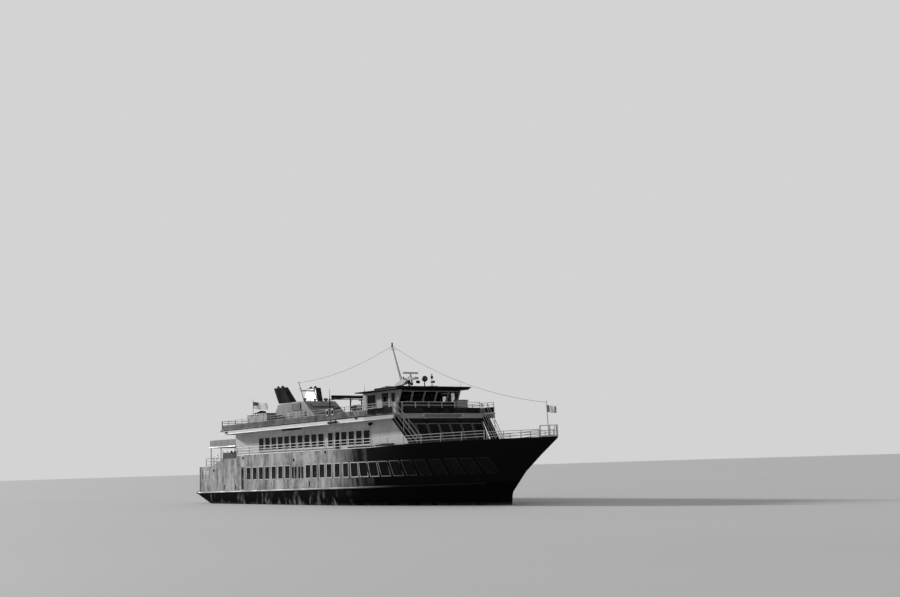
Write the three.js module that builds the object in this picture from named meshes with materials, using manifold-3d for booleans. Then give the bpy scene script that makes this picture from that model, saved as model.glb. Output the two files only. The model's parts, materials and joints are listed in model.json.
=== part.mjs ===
// Excursion boat with three decks, as a scale model at half size.
// Every size below is the real boat's, in metres; one group at the end turns them into model millimetres.
// Places: s runs forward from the stern, y to port from the centreline, z up from the waterline.

import * as THREE from 'three';
import { mergeVertices } from 'three/addons/utils/BufferGeometryUtils.js';
import Module from 'manifold-3d';

const wasm = await Module();
wasm.setup();

// Driving dimensions

const MODEL_MM_PER_METRE = 500;
const LENGTH = 52.6;
const MIDSHIP = LENGTH / 2;
const HALF_BEAM = 5.18;
const DRAFT = 2.1;
const TOUCH = 0.0006;
const SWING = 0.012;

const SHEER_MAIN = 0.0136;
const MAIN_DECK_AFT = 1.14;
const SECOND_DECK = 4.32;
const THIRD_DECK_AFT = 7.24;
const SHEER_THIRD = 0.005;
const DECK_PLATE = 0.14;
const FASCIA = 0.42;
const WALL = 0.1;

const SHELL_AFT = 1.2;
const SHELL_AFT_FOOT = 0.98;
const FOREPEAK = 47.3;
const STRAKE_DEPTH = 0.12;
const STRAKE_FORE = 46.4;
const BAR = 0.05;

const mainDeck = (s) => MAIN_DECK_AFT + SHEER_MAIN * s;
const thirdDeck = (s) => THIRD_DECK_AFT + SHEER_THIRD * s;

// Solids

/** A closed solid from a geometry, with its shared corners merged. */
function solid(geometry) {
  const bare = geometry.index ? geometry.toNonIndexed() : geometry.clone();
  bare.deleteAttribute('normal');
  bare.deleteAttribute('uv');
  const merged = mergeVertices(bare, 1e-5);
  const vertProperties = new Float32Array(merged.attributes.position.array);
  const triVerts = new Uint32Array(merged.index.array);
  return new wasm.Manifold(new wasm.Mesh({ numProp: 3, vertProperties, triVerts }));
}

/** The geometry of a solid, with flat faces. */
function geometryOf(body) {
  const mesh = body.getMesh();
  const geometry = new THREE.BufferGeometry();
  geometry.setAttribute('position', new THREE.BufferAttribute(new Float32Array(mesh.vertProperties), 3));
  geometry.setIndex(new THREE.BufferAttribute(new Uint32Array(mesh.triVerts), 1));
  return geometry;
}

const join = (...bodies) => bodies.reduce((whole, body) => whole.add(body));
const cut = (body, ...tools) => tools.reduce((rest, tool) => rest.subtract(tool), body);

/** A box between two corners. */
function block([s0, s1], [y0, y1], [z0, z1]) {
  const box = new THREE.BoxGeometry(s1 - s0, y1 - y0, z1 - z0);
  return solid(box.translate((s0 + s1) / 2, (y0 + y1) / 2, (z0 + z1) / 2));
}

const outline = (points) => new THREE.Shape(points.map(([a, b]) => new THREE.Vector2(a, b)));

/** A solid with an outline in side view (s, z), between two offsets, with holes given as [s0, s1, z0, z1]. */
function sidePrism(points, [y0, y1], holes = []) {
  const geometry = new THREE.ExtrudeGeometry(outline(points), { depth: y1 - y0, bevelEnabled: false });
  const body = solid(geometry.rotateX(Math.PI / 2).translate(0, y1, 0));
  return cut(body, ...holes.map(([s0, s1, z0, z1]) => block([s0, s1], [y0 - 1, y1 + 1], [z0, z1])));
}

/** A solid with an outline in plan (s, y), between two heights. */
function planPrism(points, [z0, z1]) {
  const geometry = new THREE.ExtrudeGeometry(outline(points), { depth: z1 - z0, bevelEnabled: false });
  return solid(geometry.translate(0, 0, z0));
}

/** A solid with an outline in end view (y, z), between two places along, with holes [y0, y1, z0, z1]. */
function endPrism(points, [s0, s1], holes = []) {
  const geometry = new THREE.ExtrudeGeometry(outline(points), { depth: s1 - s0, bevelEnabled: false });
  const turn = new THREE.Matrix4().makeBasis(
    new THREE.Vector3(0, 1, 0), new THREE.Vector3(0, 0, 1), new THREE.Vector3(1, 0, 0));
  const body = solid(geometry.applyMatrix4(turn).translate(s0, 0, 0));
  return cut(body, ...holes.map(([y0, y1, z0, z1]) => block([s0 - 1, s1 + 1], [y0, y1], [z0, z1])));
}

/** A round or many-sided bar between two points. */
function bar(from, to, radius, endRadius = radius, sides = 6) {
  const start = new THREE.Vector3(...from);
  const run = new THREE.Vector3(...to).sub(start);
  const geometry = new THREE.CylinderGeometry(endRadius, radius, run.length(), sides);
  geometry.translate(0, run.length() / 2, 0);
  const turn = new THREE.Quaternion().setFromUnitVectors(new THREE.Vector3(0, 1, 0), run.clone().normalize());
  return solid(geometry.applyQuaternion(turn).translate(...from));
}

// Hull form: one row for each level, from the keel up.
// Columns: height, aft end, half breadth there, where the full breadth starts, half breadth,
// where the bow starts to narrow, stem, fullness of the bow.

const HULL_LEVELS = [
  [-DRAFT, 15.0, 0.3, 19.0, 1.2, 27.0, 43.6, 1.5],
  [-1.75, 12.0, 1.2, 18.0, 3.8, 26.0, 45.2, 1.5],
  [-1.1, 8.4, 2.4, 15.0, 4.85, 26.0, 46.2, 1.5],
  [0.0, 2.3, 4.3, 5.6, 5.12, 27.0, 46.9, 1.6],
  [0.7, 0.6, 4.6, 2.2, HALF_BEAM, 28.4, 47.0, 1.7],
  [1.0, -0.1, 4.72, 0.75, HALF_BEAM, 29.0, 47.1, 1.75],
  [2.5, -0.1, 4.72, 0.75, HALF_BEAM, 31.0, 48.75, 1.9],
  [3.7, -0.1, 4.72, 0.75, HALF_BEAM, 32.5, 50.6, 2.05],
  [4.9, -0.1, 4.72, 0.75, HALF_BEAM, 34.0, LENGTH, 2.2],
  [6.4, -0.1, 4.72, 0.75, HALF_BEAM, 34.0, LENGTH, 2.2],
];
const STERN_ANGLES = [0, 30, 60, 90].map((degrees) => degrees * Math.PI / 180);
const BOW_SHARES = [0, 0.14, 0.26, 0.36, 0.45, 0.54, 0.62, 0.7, 0.77, 0.83, 0.885, 0.93, 0.965, 0.988];

/** The hull's row at any height, between the rows of the table. */
function levelAt(z) {
  const last = HULL_LEVELS.length - 2;
  const index = Math.min(last, Math.max(0, HULL_LEVELS.findIndex((row) => row[0] > z) - 1));
  const [low, high] = [HULL_LEVELS[index], HULL_LEVELS[index + 1]];
  const share = (z - low[0]) / (high[0] - low[0]);
  return low.map((value, column) => value + share * (high[column] - value));
}

/** The hull's outline at one height, grown outward, counterclockwise from the starboard quarter. */
function waterline(z, grow) {
  const [, aft, aftHalf, fullFrom, half, bowFrom, stem, fullness] = levelAt(z);
  const side = [];
  for (const angle of STERN_ANGLES) {
    const s = fullFrom - (fullFrom - aft + grow) * Math.cos(angle);
    side.push([s, aftHalf + grow + (half - aftHalf) * Math.sin(angle)]);
  }
  for (const share of BOW_SHARES) {
    const s = bowFrom + (stem + 2.2 * grow - bowFrom) * share;
    side.push([s, (half + grow) * (1 - share ** fullness)]);
  }
  const starboard = side.map(([s, y]) => [s, -y]);
  return [...starboard, [stem + 2.2 * grow, 0], ...side.reverse()];
}

/** The solid inside the hull's form between two heights, grown outward by a distance. */
function hullForm(low, high, grow = 0) {
  const inner = HULL_LEVELS.map((row) => row[0]).filter((z) => z > low + 0.01 && z < high - 0.01);
  const heights = [low, ...inner, high];
  const rings = heights.map((z) => waterline(z, grow).map(([s, y]) => [s, y, z]));
  const count = rings[0].length;
  const triangles = [];
  for (let level = 0; level + 1 < rings.length; level += 1) {
    for (let i = 0; i < count; i += 1) {
      const next = (i + 1) % count;
      const [a, b] = [level * count + i, level * count + next];
      if (i < (count - 1) / 2) triangles.push(a, b, b + count, a, b + count, a + count);
      else triangles.push(a, b, a + count, b, b + count, a + count);
    }
  }
  const top = (rings.length - 1) * count;
  const flat = rings[0].map(([s, y]) => new THREE.Vector2(s, y));
  const flatTop = rings.at(-1).map(([s, y]) => new THREE.Vector2(s, y));
  for (const [a, b, c] of THREE.ShapeUtils.triangulateShape(flat, [])) triangles.push(a, c, b);
  for (const [a, b, c] of THREE.ShapeUtils.triangulateShape(flatTop, [])) {
    triangles.push(top + a, top + b, top + c);
  }
  const vertProperties = new Float32Array(rings.flat(2));
  const triVerts = new Uint32Array(triangles);
  return new wasm.Manifold(new wasm.Mesh({ numProp: 3, vertProperties, triVerts }));
}

const WIDE = [-8, 8];
const STARBOARD_HALF = [-8, -TOUCH];

/** The wall between the hull's form and that form drawn in, on the starboard half, cut to a side outline. */
function hullWall(points, [low, high], outside, inside, holes) {
  const ring = cut(hullForm(low, high, outside), hullForm(low - 0.1, high + 0.1, inside));
  return ring.intersect(sidePrism(points, STARBOARD_HALF, holes));
}

/** The mirror image of a starboard solid, on the port side. */
const toPort = (body) => body.mirror([0, 1, 0]);

// Scene graph

const boat = new THREE.Group();
boat.position.x = -MIDSHIP;

const paint = (color, roughness = 0.55, metalness = 0) =>
  new THREE.MeshStandardMaterial({ color, roughness, metalness });
const FINISH = {
  hullBlack: paint(0x1f1f20, 0.6),
  hullGrey: paint(0x8d8f91, 0.6),
  white: paint(0xd9dad8, 0.5),
  deck: paint(0x6f7377, 0.85),
  funnel: paint(0x26272a, 0.5),
  canvas: paint(0x2c2e31, 0.95),
  bronze: paint(0xa77b3b, 0.35, 0.9),
  steel: paint(0xb4b8ba, 0.4, 0.6),
};

/** Adds one named piece to the boat, turned about the upright through its place. */
function piece(name, body, material, place = [0, 0, 0], turn = 0) {
  const mesh = new THREE.Mesh(geometryOf(body), material);
  mesh.name = name;
  mesh.position.set(...place);
  mesh.rotation.z = turn;
  boat.add(mesh);
}

/** Adds a starboard piece and its mirror image on the port side. */
function pair(name, body, material, [s, y, z] = [0, 0, 0], turn = 0) {
  piece(`${name}_stbd`, body, material, [s, -y, z], turn);
  piece(`${name}_port`, toPort(body), material, [s, y, z], -turn);
}

// Hull below the main deck, with the forepeak, the rubbing strake and the rudder bearings

const SHAFT = { y: 2.05, z: -1.5, aft: 7.0, fore: 14.0, radius: 0.11, strut: 7.6 };
const RUDDER = {
  stock: 5.6, top: -0.62, bottom: -2.04, ahead: 0.28, behind: 0.78, half: 0.09, radius: 0.1, bearing: 0.16 };

const belowDeck = [[-2, -3], [55, -3], [55, SECOND_DECK], [FOREPEAK, SECOND_DECK],
  [FOREPEAK, mainDeck(FOREPEAK)], [-2, mainDeck(-2)]];
const strakeBand = [[-2, mainDeck(-2) - STRAKE_DEPTH], [STRAKE_FORE, mainDeck(STRAKE_FORE) - STRAKE_DEPTH],
  [STRAKE_FORE, mainDeck(STRAKE_FORE)], [-2, mainDeck(-2)]];
const strake = hullForm(0.6, 2.6, 0.08).intersect(sidePrism(strakeBand, WIDE));
const bearing = (y) =>
  bar([RUDDER.stock, y, RUDDER.top], [RUDDER.stock, y, 0.2], RUDDER.bearing, RUDDER.bearing, 10);

const shaftTube = (y) => join(
  bar([SHAFT.aft, y, SHAFT.z], [SHAFT.fore, y, SHAFT.z], SHAFT.radius, SHAFT.radius, 8),
  bar([SHAFT.aft, y, SHAFT.z], [SHAFT.aft + 0.7, y, SHAFT.z], 0.17, 0.17, 10),
  block([SHAFT.strut - 0.12, SHAFT.strut + 0.12], [y - 0.04, y + 0.04], [SHAFT.z, 0.2]));
piece('hull', join(hullForm(-DRAFT, 5.2).intersect(sidePrism(belowDeck, WIDE)), strake,
  bearing(-SHAFT.y), bearing(SHAFT.y), shaftTube(-SHAFT.y), shaftTube(SHAFT.y)), FINISH.hullBlack);

// Side shell from the main deck to above the second deck

const SIDE_WINDOW = { width: 0.87, height: 1.17, sillAft: 2.33, rise: 0.0047, from: 12.05 };
const AFT_WINDOWS = [12.05, 13.36, 14.66, 15.95, 17.28, 18.6, 19.95, 23.86, 25.05, 26.35, 27.6, 29.0, 30.4];
// Columns: aft edge, width.
const BOW_WINDOWS = [[31.65, 1.1], [33.0, 1.1], [34.38, 1.1], [35.76, 1.1], [37.2, 1.05], [38.62, 1.0],
  [40.05, 1.0], [41.55, 0.95], [43.03, 0.95], [44.42, 0.9], [45.8, 0.9]];
const SIDE_DOOR = { s0: 10.81, s1: 11.41, z0: 1.42, z1: 3.54 };
const BOARDING = { s0: 21.02, s1: 23.56, z0: 1.52, z1: 3.6 };
const QUARTER_OPENING = [1.7, 3.5, 2.42, 3.3];

const windowSill = (s) => SIDE_WINDOW.sillAft + SIDE_WINDOW.rise * (s - SIDE_WINDOW.from);
const windowHole = (s, width) => [s, s + width, windowSill(s), windowSill(s) + SIDE_WINDOW.height];
const shellHoles = [
  QUARTER_OPENING,
  [SIDE_DOOR.s0, SIDE_DOOR.s1, SIDE_DOOR.z0, SIDE_DOOR.z1],
  [BOARDING.s0, BOARDING.s1, BOARDING.z0, BOARDING.z1],
  ...AFT_WINDOWS.map((s) => windowHole(s, SIDE_WINDOW.width)),
  ...BOW_WINDOWS.map(([s, width]) => windowHole(s, width)),
];
const shellOutline = [
  [SHELL_AFT_FOOT, mainDeck(SHELL_AFT_FOOT) + TOUCH], [FOREPEAK - TOUCH, mainDeck(FOREPEAK) + TOUCH],
  [FOREPEAK - TOUCH, 5.0],
  [40.0, 4.9], [35.0, 4.76], [9.8, 4.7], [9.8, 4.45], [6.67, 4.45], [4.1, 3.76], [SHELL_AFT, 3.72]];
pair('shell', hullWall(shellOutline, [1.0, 5.2], 0, -WALL, shellHoles), FINISH.hullGrey);

const bowRise = 0.003;
const bulwarkOutline = [[FOREPEAK, SECOND_DECK + TOUCH], [55, SECOND_DECK + TOUCH],
  [55, 5.0 + bowRise * (55 - FOREPEAK)], [FOREPEAK, 5.0]];
const bulwark = cut(hullForm(4.0, 5.2), hullForm(3.9, 5.3, -WALL)).intersect(sidePrism(bulwarkOutline, WIDE));
piece('bow_bulwark', bulwark, FINISH.hullGrey);

// Low coaming round the stern platform

const COAMING = { height: 0.14, thick: 0.08 };
const coamingTop = mainDeck(SHELL_AFT_FOOT) + COAMING.height;
const sternOutline = [[-2, mainDeck(-2) + TOUCH], [SHELL_AFT_FOOT - TOUCH, mainDeck(SHELL_AFT_FOOT) + TOUCH],
  [SHELL_AFT_FOOT - TOUCH, coamingTop], [-2, coamingTop]];
const sternRing = cut(hullForm(1.0, 2.6), hullForm(0.9, 2.7, -COAMING.thick));
piece('stern_coaming', sternRing.intersect(sidePrism(sternOutline, WIDE)), FINISH.hullGrey);

// Main saloon's aft bulkhead, with a doorway on the centreline

const AFT_BULKHEAD = 10.3;
const bulkheadOutline = [[AFT_BULKHEAD, mainDeck(AFT_BULKHEAD) + TOUCH],
  [AFT_BULKHEAD + WALL, mainDeck(AFT_BULKHEAD + WALL) + TOUCH],
  [AFT_BULKHEAD + WALL, SECOND_DECK - DECK_PLATE - TOUCH], [AFT_BULKHEAD, SECOND_DECK - DECK_PLATE - TOUCH]];
const bulkhead = cut(
  hullForm(1.0, 5.2, -WALL - TOUCH).intersect(sidePrism(bulkheadOutline, WIDE)),
  block([AFT_BULKHEAD - 1, AFT_BULKHEAD + 1], [-0.5, 0.5], [1.5, 3.5]));
piece('saloon_aft_bulkhead', bulkhead, FINISH.white);

// Second deck, with its lower part over the stern and the ramp between

const LOWER_DECK = 3.6;
const secondDeckOutline = [
  [SHELL_AFT + 0.1, LOWER_DECK], [SHELL_AFT + 0.1, LOWER_DECK - DECK_PLATE], [4.2, LOWER_DECK - DECK_PLATE],
  [6.8, SECOND_DECK - DECK_PLATE], [FOREPEAK - TOUCH, SECOND_DECK - DECK_PLATE],
  [FOREPEAK - TOUCH, SECOND_DECK], [6.7, SECOND_DECK], [4.1, LOWER_DECK]];
const secondDeck = hullForm(3.2, 5.2, -WALL - TOUCH).intersect(sidePrism(secondDeckOutline, WIDE));
piece('second_deck', secondDeck, FINISH.deck);

// Upper saloon between the second and the third deck

const SALOON = { half: 4.13, aft: 7.45, front: 37.87, frontFoot: 39.3, wall: 0.08, break: 7.0 };
// Columns: aft edge, width. A wide pillar follows the tenth, and a doorway the eleventh.
const UPPER_WINDOWS = [[12.65, 1.0], [13.95, 1.0], [15.25, 1.0], [16.55, 1.0], [17.85, 1.0], [19.15, 1.0],
  [20.45, 1.0], [21.75, 1.0], [23.05, 1.0], [24.35, 1.0], [26.1, 0.85], [28.4, 0.95], [29.65, 0.95],
  [30.9, 0.97], [32.15, 1.0]];
const UPPER_SILL = 5.1;
const UPPER_HEAD = 6.3;
const UPPER_DOOR = [27.35, 28.1, SECOND_DECK + 0.25, UPPER_HEAD];

const saloonTop = (s) => thirdDeck(s) - DECK_PLATE - TOUCH;
const saloonFloor = SECOND_DECK + TOUCH;
const saloonSide = [[SALOON.aft, saloonFloor], [SALOON.frontFoot, saloonFloor], [SALOON.front, SALOON.break],
  [SALOON.front, saloonTop(SALOON.front)], [SALOON.aft, saloonTop(SALOON.aft)]];
const upperHoles = [...UPPER_WINDOWS.map(([s, width]) => [s, s + width, UPPER_SILL, UPPER_HEAD]), UPPER_DOOR];
const saloonWall = sidePrism(saloonSide, [-SALOON.half, -SALOON.half + SALOON.wall], upperHoles);
pair('upper_wall', saloonWall, FINISH.white);

const saloonInner = SALOON.half - SALOON.wall - TOUCH;
const aftRun = [SALOON.aft, SALOON.aft + SALOON.wall];
const aftThrough = [SALOON.aft - 1, SALOON.aft + 1];
const aftWall = cut(
  block(aftRun, [-saloonInner, saloonInner], [saloonFloor, saloonTop(SALOON.aft)]),
  block(aftThrough, [-0.75, 0.75], [SECOND_DECK + 0.1, 6.5]),
  block(aftThrough, [-3.4, -1.6], [UPPER_SILL, UPPER_HEAD]),
  block(aftThrough, [1.6, 3.4], [UPPER_SILL, UPPER_HEAD]));
piece('upper_wall_aft', aftWall, FINISH.white);

const FRONT_WINDOWS = { count: 7, pitch: 1.14, width: 0.98, sill: 5.2, head: 6.55 };
const frontOutline = [[SALOON.frontFoot - SALOON.wall, saloonFloor], [SALOON.frontFoot, saloonFloor],
  [SALOON.front, SALOON.break], [SALOON.front, saloonTop(SALOON.front)],
  [SALOON.front - SALOON.wall, saloonTop(SALOON.front)], [SALOON.front - SALOON.wall, SALOON.break]];
const frontCuts = Array.from({ length: FRONT_WINDOWS.count }, (_, i) => {
  const middle = (i - (FRONT_WINDOWS.count - 1) / 2) * FRONT_WINDOWS.pitch;
  const half = FRONT_WINDOWS.width / 2;
  return block([36, 41], [middle - half, middle + half], [FRONT_WINDOWS.sill, FRONT_WINDOWS.head]);
});
const frontWall = cut(sidePrism(frontOutline, [-saloonInner, saloonInner]), ...frontCuts);
piece('upper_wall_front', frontWall, FINISH.white);

// Third deck, a plate with a deep fascia round its edge

const THIRD = { aft: 6.2, fore: 38.0, half: HALF_BEAM, edge: 0.1 };
const thirdHollow = [[THIRD.aft + THIRD.edge, 5], [THIRD.fore - THIRD.edge, 5],
  [THIRD.fore - THIRD.edge, thirdDeck(THIRD.fore) - DECK_PLATE],
  [THIRD.aft + THIRD.edge, thirdDeck(THIRD.aft) - DECK_PLATE]];
const hollowHalf = THIRD.half - THIRD.edge;
const deckFrontHalf = 4.17;
const stairHeadS = 37.45;
const WING = { fore: 38.4, inner: 4.97, half: 5.14 };
const thirdPlan = [[THIRD.aft, -THIRD.half], [34.0, -THIRD.half], [WING.fore, -WING.half],
  [WING.fore, -WING.inner], [stairHeadS, -WING.inner], [stairHeadS, -deckFrontHalf],
  [THIRD.fore, -deckFrontHalf]];
const thirdHollowPlan = [[THIRD.aft, -THIRD.half], [34.0, -THIRD.half], [stairHeadS - THIRD.edge, -5.04],
  [stairHeadS - THIRD.edge, -SALOON.half - TOUCH], [THIRD.fore, -SALOON.half - TOUCH]];
const bothSides = (half) => [...half, ...half.map(([s, y]) => [s, -y]).reverse()];
const thirdOutline = [
  [THIRD.aft, thirdDeck(THIRD.aft) - FASCIA], [WING.fore, thirdDeck(WING.fore) - FASCIA],
  [WING.fore, thirdDeck(WING.fore)], [THIRD.aft, thirdDeck(THIRD.aft)]];
piece('third_deck', cut(
  sidePrism(thirdOutline, [-THIRD.half, THIRD.half]).intersect(planPrism(bothSides(thirdPlan), [6, 8])),
  sidePrism(thirdHollow, [-hollowHalf, hollowHalf]).intersect(planPrism(bothSides(thirdHollowPlan), [4, 8]))),
FINISH.white);

// Pilothouse: four walls with windows, two door leaves and a stepped roof

const PILOT = { aft: 30.4, front: 35.9, half: 3.07, wall: 0.08, sill: 8.5, head: 9.35, top: 9.5, lean: 0.55 };
const PILOT_DOOR = { s0: 33.45, s1: 34.45, z1: 9.32 };
const pilotFloor = (s) => thirdDeck(s) + TOUCH;
const pilotTop = PILOT.top - TOUCH;
const pilotSide = [[PILOT.aft, pilotFloor(PILOT.aft)], [PILOT.front, pilotFloor(PILOT.front)],
  [PILOT.front, PILOT.sill - 0.1], [PILOT.front + PILOT.lean, pilotTop], [PILOT.aft, pilotTop]];
const doorSill = thirdDeck(PILOT_DOOR.s0) + 0.12;
const pilotHoles = [
  [31.13, 32.5, 8.2, 9.3],
  [PILOT_DOOR.s0, PILOT_DOOR.s1, doorSill, PILOT_DOOR.z1],
  [34.95, 35.55, PILOT.sill, PILOT.head - 0.05],
];
const pilotWall = sidePrism(pilotSide, [-PILOT.half, -PILOT.half + PILOT.wall], pilotHoles);
pair('pilothouse_wall', pilotWall, FINISH.white);

const pilotInner = PILOT.half - PILOT.wall - TOUCH;
const pilotAft = endPrism(
  [[-pilotInner, pilotFloor(PILOT.aft + 0.1)], [pilotInner, pilotFloor(PILOT.aft + 0.1)],
    [pilotInner, pilotTop], [-pilotInner, pilotTop]],
  [PILOT.aft, PILOT.aft + PILOT.wall],
  [[-2.4, -1.2, 8.35, 9.25], [1.2, 2.4, 8.35, 9.25]]);
piece('pilothouse_wall_aft', pilotAft, FINISH.white);

const PILOT_WINDOWS = { count: 5, pitch: 1.21, width: 1.08 };
const pilotFrontOutline = [[PILOT.front - PILOT.wall, pilotFloor(PILOT.front)],
  [PILOT.front, pilotFloor(PILOT.front)], [PILOT.front, PILOT.sill - 0.1],
  [PILOT.front + PILOT.lean, pilotTop], [PILOT.front + PILOT.lean - PILOT.wall, pilotTop],
  [PILOT.front - PILOT.wall, PILOT.sill - 0.1]];
const pilotCuts = Array.from({ length: PILOT_WINDOWS.count }, (_, i) => {
  const middle = (i - (PILOT_WINDOWS.count - 1) / 2) * PILOT_WINDOWS.pitch;
  const half = PILOT_WINDOWS.width / 2;
  return block([35, 38], [middle - half, middle + half], [PILOT.sill, PILOT.head]);
});
const pilotFront = cut(sidePrism(pilotFrontOutline, [-pilotInner, pilotInner]), ...pilotCuts);
piece('pilothouse_wall_front', pilotFront, FINISH.white);

const ROOF = { aft: 30.2, step: 33.35, fore: 36.95, half: 3.73, low: 9.6, high: 9.74 };
const roofOutline = [[ROOF.aft, PILOT.top], [ROOF.fore - 0.3, PILOT.top], [ROOF.fore, ROOF.high - 0.06],
  [ROOF.fore, ROOF.high], [ROOF.step, ROOF.high], [ROOF.step, ROOF.low], [ROOF.aft, ROOF.low]];
piece('pilothouse_roof', sidePrism(roofOutline, [-ROOF.half, ROOF.half]), FINISH.white);

// Machinery casing with two raked funnels

const CASING = { aftFoot: 10.45, aftTop: 12.2, foreTop: 17.3, foreFoot: 20.8, top: 9.65, half: 1.8 };
const onThird = (s) => thirdDeck(s) + TOUCH;
const casingOutline = [[CASING.aftFoot, onThird(CASING.aftFoot)], [CASING.foreFoot, onThird(CASING.foreFoot)],
  [CASING.foreTop, CASING.top], [CASING.aftTop, CASING.top]];
piece('casing', sidePrism(casingOutline, [-CASING.half, CASING.half]), FINISH.hullGrey);

const FUNNEL = {
  aft: 12.25, fore: 15.0, topAft: 11.95, topFore: 13.9, top: 11.17, outer: 1.76, inner: 1.16, lean: 0.37 };
const funnelForm = (from, to) => {
  const corners = [];
  for (const [z, a, f, out] of [[CASING.top + TOUCH, FUNNEL.aft, FUNNEL.fore, 0],
    [FUNNEL.top, FUNNEL.topAft, FUNNEL.topFore, FUNNEL.lean]]) {
    corners.push([a, from - out, z], [f, from - out, z], [f, to - out, z], [a, to - out, z]);
  }
  const faces = [0, 2, 1, 0, 3, 2, 4, 5, 6, 4, 6, 7, 0, 1, 5, 0, 5, 4,
    1, 2, 6, 1, 6, 5, 2, 3, 7, 2, 7, 6, 3, 0, 4, 3, 4, 7];
  return new wasm.Manifold(new wasm.Mesh({
    numProp: 3, vertProperties: new Float32Array(corners.flat()), triVerts: new Uint32Array(faces) }));
};
pair('funnel', funnelForm(-FUNNEL.outer, -FUNNEL.inner), FINISH.funnel);

// Goalpost frame between the funnels, raked with them; its starboard post carries the aft dressing line
const FRAME = {
  foot: 15.72, barS: 15.0, barZ: 10.8, half: 0.74, topS: 14.58, top: 11.6, thick: 0.05, bar: 0.07,
  knob: 0.08 };
const overCasing = block([14, 17], [-1, 1], [CASING.top + TOUCH, 13]);
const framePost = (y, s, z) =>
  bar([FRAME.foot, y, CASING.top - 0.1], [s, y, z], FRAME.thick, FRAME.thick, 8).intersect(overCasing);
const frameKnob = (low, high, radius) => bar(
  [FRAME.topS, -FRAME.half, FRAME.top - low], [FRAME.topS, -FRAME.half, FRAME.top + high], radius, radius, 8);
const beamEnd = FRAME.half + 0.05;
const funnelFrame = join(
  bar([FRAME.barS, -beamEnd, FRAME.barZ], [FRAME.barS, beamEnd, FRAME.barZ], FRAME.bar, FRAME.bar, 8),
  framePost(-FRAME.half, FRAME.topS, FRAME.top),
  framePost(FRAME.half, FRAME.barS, FRAME.barZ),
  frameKnob(0.08, 0.06, FRAME.knob));
piece('funnel_frame', funnelFrame, FINISH.white);

// Lockers on the third deck and the ensign staff

/** A box with an overhanging lid, standing on the third deck. */
function locker([s0, s1], [y0, y1], top) {
  const lid = { thick: 0.08, over: 0.04 };
  const under = top - lid.thick;
  return join(
    sidePrism([[s0, onThird(s0)], [s1, onThird(s1)], [s1, under], [s0, under]], [y0, y1]),
    block([s0 - lid.over, s1 + lid.over], [y0 - lid.over, y1 + lid.over], [under, top]));
}

const AFT_LOCKER = { s: [7.8, 12.1], y: [-3.0, -2.0], top: 8.78 };
const FRONT_LOCKER = { s: [36.6, 37.2], y: [2.15, 3.2], top: 8.62 };
piece('aft_locker', locker(AFT_LOCKER.s, AFT_LOCKER.y, AFT_LOCKER.top), FINISH.hullGrey);
piece('front_locker', locker(FRONT_LOCKER.s, FRONT_LOCKER.y, FRONT_LOCKER.top), FINISH.hullGrey);

const ENSIGN = { s: 6.72, y: -1.8, top: 10.4, radius: 0.035 };
const ensignFlag = sidePrism([[ENSIGN.s, 9.52], [8.5, 9.35], [8.5, 10.0], [ENSIGN.s, 10.2]],
  [ENSIGN.y - 0.01, ENSIGN.y + 0.01]);
const ensignPole =
  bar([ENSIGN.s, ENSIGN.y, onThird(ENSIGN.s)], [ENSIGN.s, ENSIGN.y, ENSIGN.top], ENSIGN.radius);
piece('ensign_staff', join(ensignPole, ensignFlag), FINISH.white);

// Shelter over the lower stern deck: a flat roof with deep sides, open forward, on six posts

const SHELTER = { aft: 1.35, fore: 7.44, half: 4.13, low: 5.63, top: 6.42, plate: 0.06, post: 0.07 };
const shelterSides =
  [[-SHELTER.half, SHELTER.post - SHELTER.half], [SHELTER.half - SHELTER.post, SHELTER.half]];
const shelterPost = (s, y, deck) =>
  block([s, s + SHELTER.post], y, [deck + TOUCH, SHELTER.top - SHELTER.plate]);
const shelterPosts = shelterSides.flatMap((y) =>
  [shelterPost(1.5, y, LOWER_DECK), shelterPost(3.9, y, LOWER_DECK), shelterPost(7.2, y, SECOND_DECK)]);
const shelterInner = SHELTER.half - SHELTER.plate;
piece('stern_shelter', join(
  cut(block([SHELTER.aft, SHELTER.fore], [-SHELTER.half, SHELTER.half], [SHELTER.low, SHELTER.top]),
    block([SHELTER.aft + SHELTER.plate, SHELTER.fore + 1], [-shelterInner, shelterInner],
      [SHELTER.low - 1, SHELTER.top - SHELTER.plate])),
  ...shelterPosts), FINISH.white);

// Canopy over the bench ahead of the casing, its aft edge turned up, on two pairs of posts

const CANOPY = { half: 1.8, postY: 1.72, post: 0.05, posts: [22.3, 26.03], beamAft: 21.8, beamZ: 9.55 };
const canopyOutline = [[22.65, 9.88], [22.75, 9.5], [23.6, 9.43], [28.7, 9.3], [28.7, 9.54], [23.7, 9.66]];
const canopyPost = (s, y) => block([s - CANOPY.post, s + CANOPY.post],
  [y - CANOPY.post, y + CANOPY.post], [onThird(s + CANOPY.post), 9.5]);
const canopyBeam = (y) => block([CANOPY.beamAft, 26.1], [y - 0.04, y + 0.04], [9.42, CANOPY.beamZ]);
const canopy = join(
  sidePrism(canopyOutline, [-CANOPY.half, CANOPY.half]),
  ...[-CANOPY.postY, CANOPY.postY].flatMap((y) =>
    [canopyBeam(y), ...CANOPY.posts.map((s) => canopyPost(s, y))]));
piece('canopy', canopy, FINISH.canvas);

// Mast with its radar platform, the turning scanner, the dome and the horn post

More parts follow.
